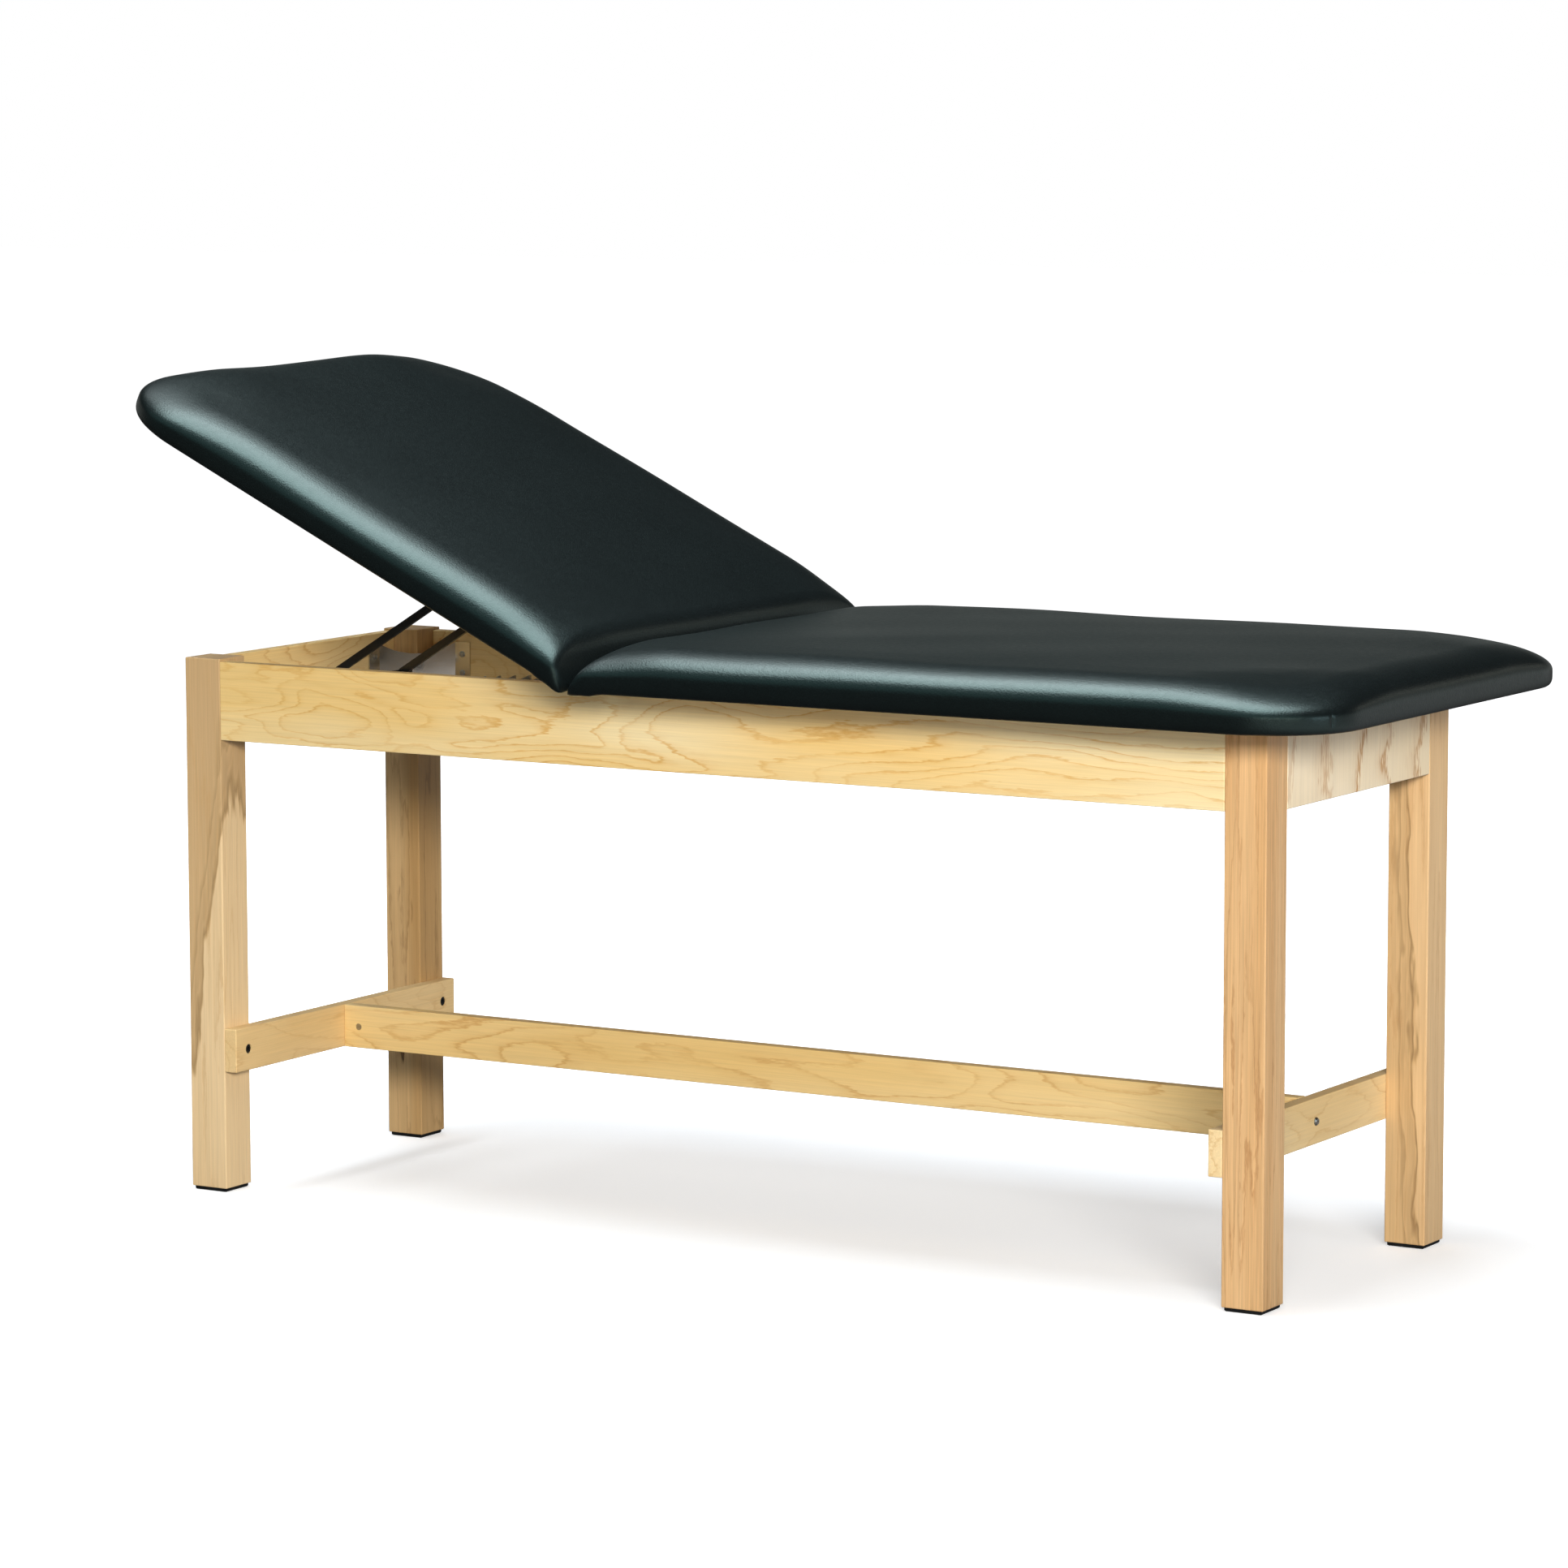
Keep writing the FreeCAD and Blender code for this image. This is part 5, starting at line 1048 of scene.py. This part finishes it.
    def build(self, vinyl: bpy.types.Material) -> bpy.types.Object:
        """Builds the cover, rides it on its body and lets it stand for the CAD's cushion.

        Args:
            vinyl: The cover's material.

        Returns:
            The finished piece.
        """
        points, faces, held = self.build_surface()
        free = self.keep_up.at(points[:, 2]) * self.keep_along.at(points[:, 0])
        points = self.to_table(self.shape_cover(points, held))
        if self.end is End.HEAD:
            faces = faces[:, ::-1]
        piece = add_piece(self.name, points, faces, vinyl)
        self.stuff(piece, held, free)
        subdivision = piece.modifiers.new("smooth cover", "SUBSURF")
        subdivision.levels = subdivision.render_levels = 1
        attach(piece, self.body)
        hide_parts(self.node)
        LOG.info("%s: %d points, %d faces", self.name, len(points), len(faces))
        return piece


# Wood and fittings


@dataclass
class Frame:
    """The CAD's own wood and metal, dressed node by node."""

    nodes: dict

    def dress(self) -> None:
        """Gives every CAD node but the cushions its material."""
        finishes = dict(TIMBERS)
        for finish, names in FITTINGS.items():
            finishes.update(dict.fromkeys(names, finish))
        made = {}
        for name, node in self.nodes.items():
            if name.endswith("_cushion"):
                continue
            finish = finishes[name]
            if finish not in made:
                made[finish] = finish.make()
            node.data.materials.clear()
            node.data.materials.append(made[finish])
        LOG.info("dressed %d CAD nodes in %d finishes", len(finishes), len(made))


# Studio


def set_up(name: str, data: bpy.types.ID, columns: list) -> bpy.types.Object:
    """Puts a camera or a lamp in the scene.

    Args:
        name: Its name.
        data: Its camera or light data.
        columns: Its right, upward and backward directions and its place, in metres.

    Returns:
        The new object.
    """
    matrix = np.eye(4)
    matrix[:3] = np.stack(columns, -1)
    holder = bpy.data.objects.new(name, data)
    holder.matrix_world = Matrix(matrix.tolist())
    bpy.context.scene.collection.objects.link(holder)
    return holder


@dataclass(frozen=True)
class Softbox:
    """One rectangular lamp. Its place, target and size are in metres."""

    name: str
    place: Place
    target: Place
    size: tuple[float, float]
    watts: float
    tint: str
    mirrored: bool = True
    overhead: float = 0.9

    def hang(self) -> None:
        """Hangs it, facing its target with a level edge. Glossy surfaces show it only if it is mirrored."""
        data = bpy.data.lights.new(self.name, "AREA")
        data.color = linear(self.tint)[:3]
        data.shape = "RECTANGLE"
        data.size, data.size_y = self.size
        data.energy = self.watts
        back = np.subtract(self.place, self.target)
        back /= np.linalg.norm(back)
        side = np.cross((0.0, 1.0, 0.0) if abs(back[2]) > self.overhead else (0.0, 0.0, 1.0), back)
        side /= np.linalg.norm(side)
        lamp = set_up(self.name, data, [side, np.cross(back, side), back, self.place])
        lamp.visible_glossy = self.mirrored


SOFTBOXES = (
    Softbox("overhead softbox", (-0.25, -0.3, 3.3), (-0.25, -0.3, 0.7), (3.0, 2.0), 186.0, "#f4fbff"),
    Softbox("overhead spill", (-1.9, 1.15, 3.3), (-1.9, 1.15, 0.7), (2.6, 0.9), 12.0, "#f4fbff"),
    Softbox("front softbox", (4.6, -5.9, 2.55), (0.0, 0.0, 0.6), (3.2, 1.1), 480.0, "#fffaf2", False),
    Softbox("front veil", (4.6, -5.9, 2.55), (0.0, 0.0, 0.6), (5.0, 1.6), 175.0, "#fffaf2"),
    Softbox("foot end softbox", (5.6, -0.6, 1.6), (0.4, 0.0, 0.4), (1.4, 1.4), 30.0, "#eaf2ff"),
    Softbox("rear softbox", (3.7, 5.2, 1.1), (0.9, 0.0, 0.7), (3.0, 1.8), 3.2, "#f2fbfb"),
    Softbox("high rear softbox", (3.0, 5.2, 2.6), (0.9, 0.0, 0.7), (2.4, 0.7), 4.0, "#fbf8ea"),
    Softbox("back fill", (-3.5, 5.0, 2.5), (-0.2, 0.0, 0.5), (3.0, 2.0), 65.0, "#f4f8ff", False),
)


@dataclass(frozen=True)
class Studio:
    """White floor, soft lamps and the camera at the photograph's angle.

    The camera's angles are in degrees and its eye is in millimetres. The world's fades run over the
    viewing direction, and the floor's over metres.
    """

    focal_pixels: float = 7308.82
    frame_pixels: float = 1932.0
    sensor: float = 36.0
    yaw: float = 30.9470
    pitch: float = 7.0518
    roll: float = -0.1143
    eye: Place = (3849.50, -6538.84, 1508.04)
    room_light: float = 0.06
    far_band: Fade = Fade(-0.3, 0.3, 0.04, 0.38)
    far_rise: Fade = Fade(0.0, 0.3, last=0.01)
    near_haze: Fade = Fade(-0.1, -0.5, 0.0, 0.55)
    near_rise: Fade = Fade(0.1, 0.4)
    floor_half: float = 30.0
    floor_white: Fade = Fade(1.1, 2.3, 0.42, 1.0)
    floor_paint: float = 0.3
    floor_lit: Fade = Fade(0.3, 3.0, 0.06)
    floor_most: Fade = Fade(-0.5, 2.5, 0.9, 0.45)

    def add_camera(self) -> None:
        """Places the camera: its columns are right, up and back."""
        yaw, pitch, roll = (math.radians(v) for v in (self.yaw, self.pitch, self.roll))
        ahead = np.array([-math.sin(yaw) * math.cos(pitch), math.cos(yaw) * math.cos(pitch),
                          -math.sin(pitch)])
        level = np.array([math.cos(yaw), math.sin(yaw), 0.0])
        upward = np.cross(level, ahead)
        right = math.cos(roll) * level + math.sin(roll) * upward
        above = -math.sin(roll) * level + math.cos(roll) * upward
        data = bpy.data.cameras.new("studio camera")
        data.sensor_width = self.sensor
        data.lens = self.focal_pixels / self.frame_pixels * self.sensor
        data.clip_start, data.clip_end = 0.1, 200.0
        bpy.context.scene.camera = set_up("studio camera", data,
                                          [right, above, -ahead, np.array(self.eye) * MM])

    def add_world(self) -> None:
        """A dim, even room, which the camera sees as white all over.

        Glossy surfaces see a pale band low down behind the table and a teal haze above them in front.
        """
        world = bpy.data.worlds.new("studio")
        world.use_nodes = True
        tree = world.node_tree
        tree.nodes.clear()
        output = add_node(tree, "OutputWorld")
        direction = add_node(tree, "TexCoord").outputs["Generated"]
        parts = add_node(tree, "SeparateXYZ", {0: direction}).outputs
        low = add_node(tree, "MapRange", self.far_band.of(parts["Y"]), **SMOOTH).outputs[0]
        band = add_node(tree, "MapRange", self.far_rise.of(parts["Z"]) | {"To Min": low},
                        **SMOOTH).outputs[0]
        most = add_node(tree, "MapRange", self.near_haze.of(parts["Y"]), **SMOOTH).outputs[0]
        haze = add_node(tree, "MapRange", self.near_rise.of(parts["Z"]) | {"To Max": most},
                        **SMOOTH).outputs[0]
        room = add_node(tree, "Background", {"Color": linear("#f4f6f8"), "Strength": self.room_light})
        far_side = add_node(tree, "Background", {"Color": linear("#f0f4ee"), "Strength": band})
        near_side = add_node(tree, "Background", {"Color": linear("#b8f2f2"), "Strength": haze})
        mirrored = add_node(tree, "AddShader", {0: far_side.outputs[0], 1: near_side.outputs[0]})
        white = add_node(tree, "Background", {"Color": grey(1.0), "Strength": 1.0})
        path = add_node(tree, "LightPath").outputs
        unseen = add_node(tree, "MixShader", {0: path["Is Glossy Ray"], 1: room.outputs[0],
                                              2: mirrored.outputs[0]})
        mixed = add_node(tree, "MixShader", {0: path["Is Camera Ray"], 1: unseen.outputs[0],
                                             2: white.outputs[0]})
        tree.links.new(mixed.outputs[0], output.inputs["Surface"])
        bpy.context.scene.world = world

    def add_floor(self) -> None:
        """A white floor that keeps a soft share of the object's shadow near it.

        Away from the object the camera sees the floor's own white alone, and within about
        two metres a share of painted floor is mixed in, which takes the shadow. Glossy surfaces
        see it lit from the foot end and dark towards the head end.
        """
        material, tree, output = new_material("white studio floor")
        place = add_node(tree, "TexCoord").outputs["Object"]
        reach = add_node(tree, "VectorMath", {0: place}, operation="LENGTH").outputs["Value"]
        own = add_node(tree, "MapRange", self.floor_white.of(reach), **SMOOTH).outputs[0]
        glow = add_node(tree, "Emission", {"Color": grey(1.0), "Strength": own})
        shaded = add_node(tree, "BsdfDiffuse", {"Color": linear("#e6e8ec")})
        shown = add_node(tree, "AddShader", {0: glow.outputs[0], 1: shaded.outputs[0]})
        painted = add_node(tree, "BsdfDiffuse", {"Color": grey(self.floor_paint)})
        parts = add_node(tree, "SeparateXYZ", {0: place}).outputs
        most = add_node(tree, "MapRange", self.floor_most.of(parts["Y"])).outputs[0]
        lit = add_node(tree, "MapRange", self.floor_lit.of(parts["X"]) | {"To Max": most},
                       **SMOOTH).outputs[0]
        mirrored = add_node(tree, "Emission", {"Color": grey(1.0), "Strength": lit})
        path = add_node(tree, "LightPath").outputs
        seen = add_node(tree, "Math", {0: path["Is Camera Ray"], 1: path["Is Transmission Ray"]},
                        operation="MAXIMUM").outputs[0]
        unseen = add_node(tree, "MixShader", {0: path["Is Glossy Ray"], 1: painted.outputs[0],
                                              2: mirrored.outputs[0]})
        mixed = add_node(tree, "MixShader", {0: seen, 1: unseen.outputs[0], 2: shown.outputs[0]})
        tree.links.new(mixed.outputs[0], output.inputs["Surface"])
        corners = np.array([[-1, -1, 0], [1, -1, 0], [1, 1, 0], [-1, 1, 0]]) * self.floor_half / MM
        floor = add_piece("studio_floor", corners, np.array([[0, 1, 2, 3]]), material)

    def build(self) -> None:
        """Sets up camera, lamps, room and floor."""
        self.add_camera()
        self.add_world()
        self.add_floor()
        for softbox in SOFTBOXES:
            softbox.hang()
        bpy.context.scene.view_settings.view_transform = "Standard"
        LOG.info("studio ready")


BODY = Cushion("body_cushion_cover", "body_cushion", "frame", End.FOOT, length=1044.0, tilt=0.0, phase=0.4,
               folds=(Fold(10.0, 4.5, 14.0), Fold(36.0, 5.0, 8.0)))
BACK = Cushion("backrest_cushion_cover", "backrest_cushion", "backrest", End.HEAD, length=791.0, tilt=25.6,
               phase=2.1, folds=(Fold(10.0, 6.0, 12.0), Fold(36.0, 4.0, 8.0)),
               bumps=(Bump(760.0, 150.0, 5.0, 95.0), Bump(760.0, -60.0, -3.0, 80.0)))


def main() -> None:
    """Builds the studio, dresses the frame and makes the cushions."""
    logging.basicConfig(level=logging.INFO, format="%(name)s: %(message)s")
    Studio().build()
    Frame(frame["nodes"]).dress()
    vinyl = VINYL.make()
    for cushion in (BODY, BACK):
        cushion.build(vinyl)


if __name__ == "__main__":
    main()
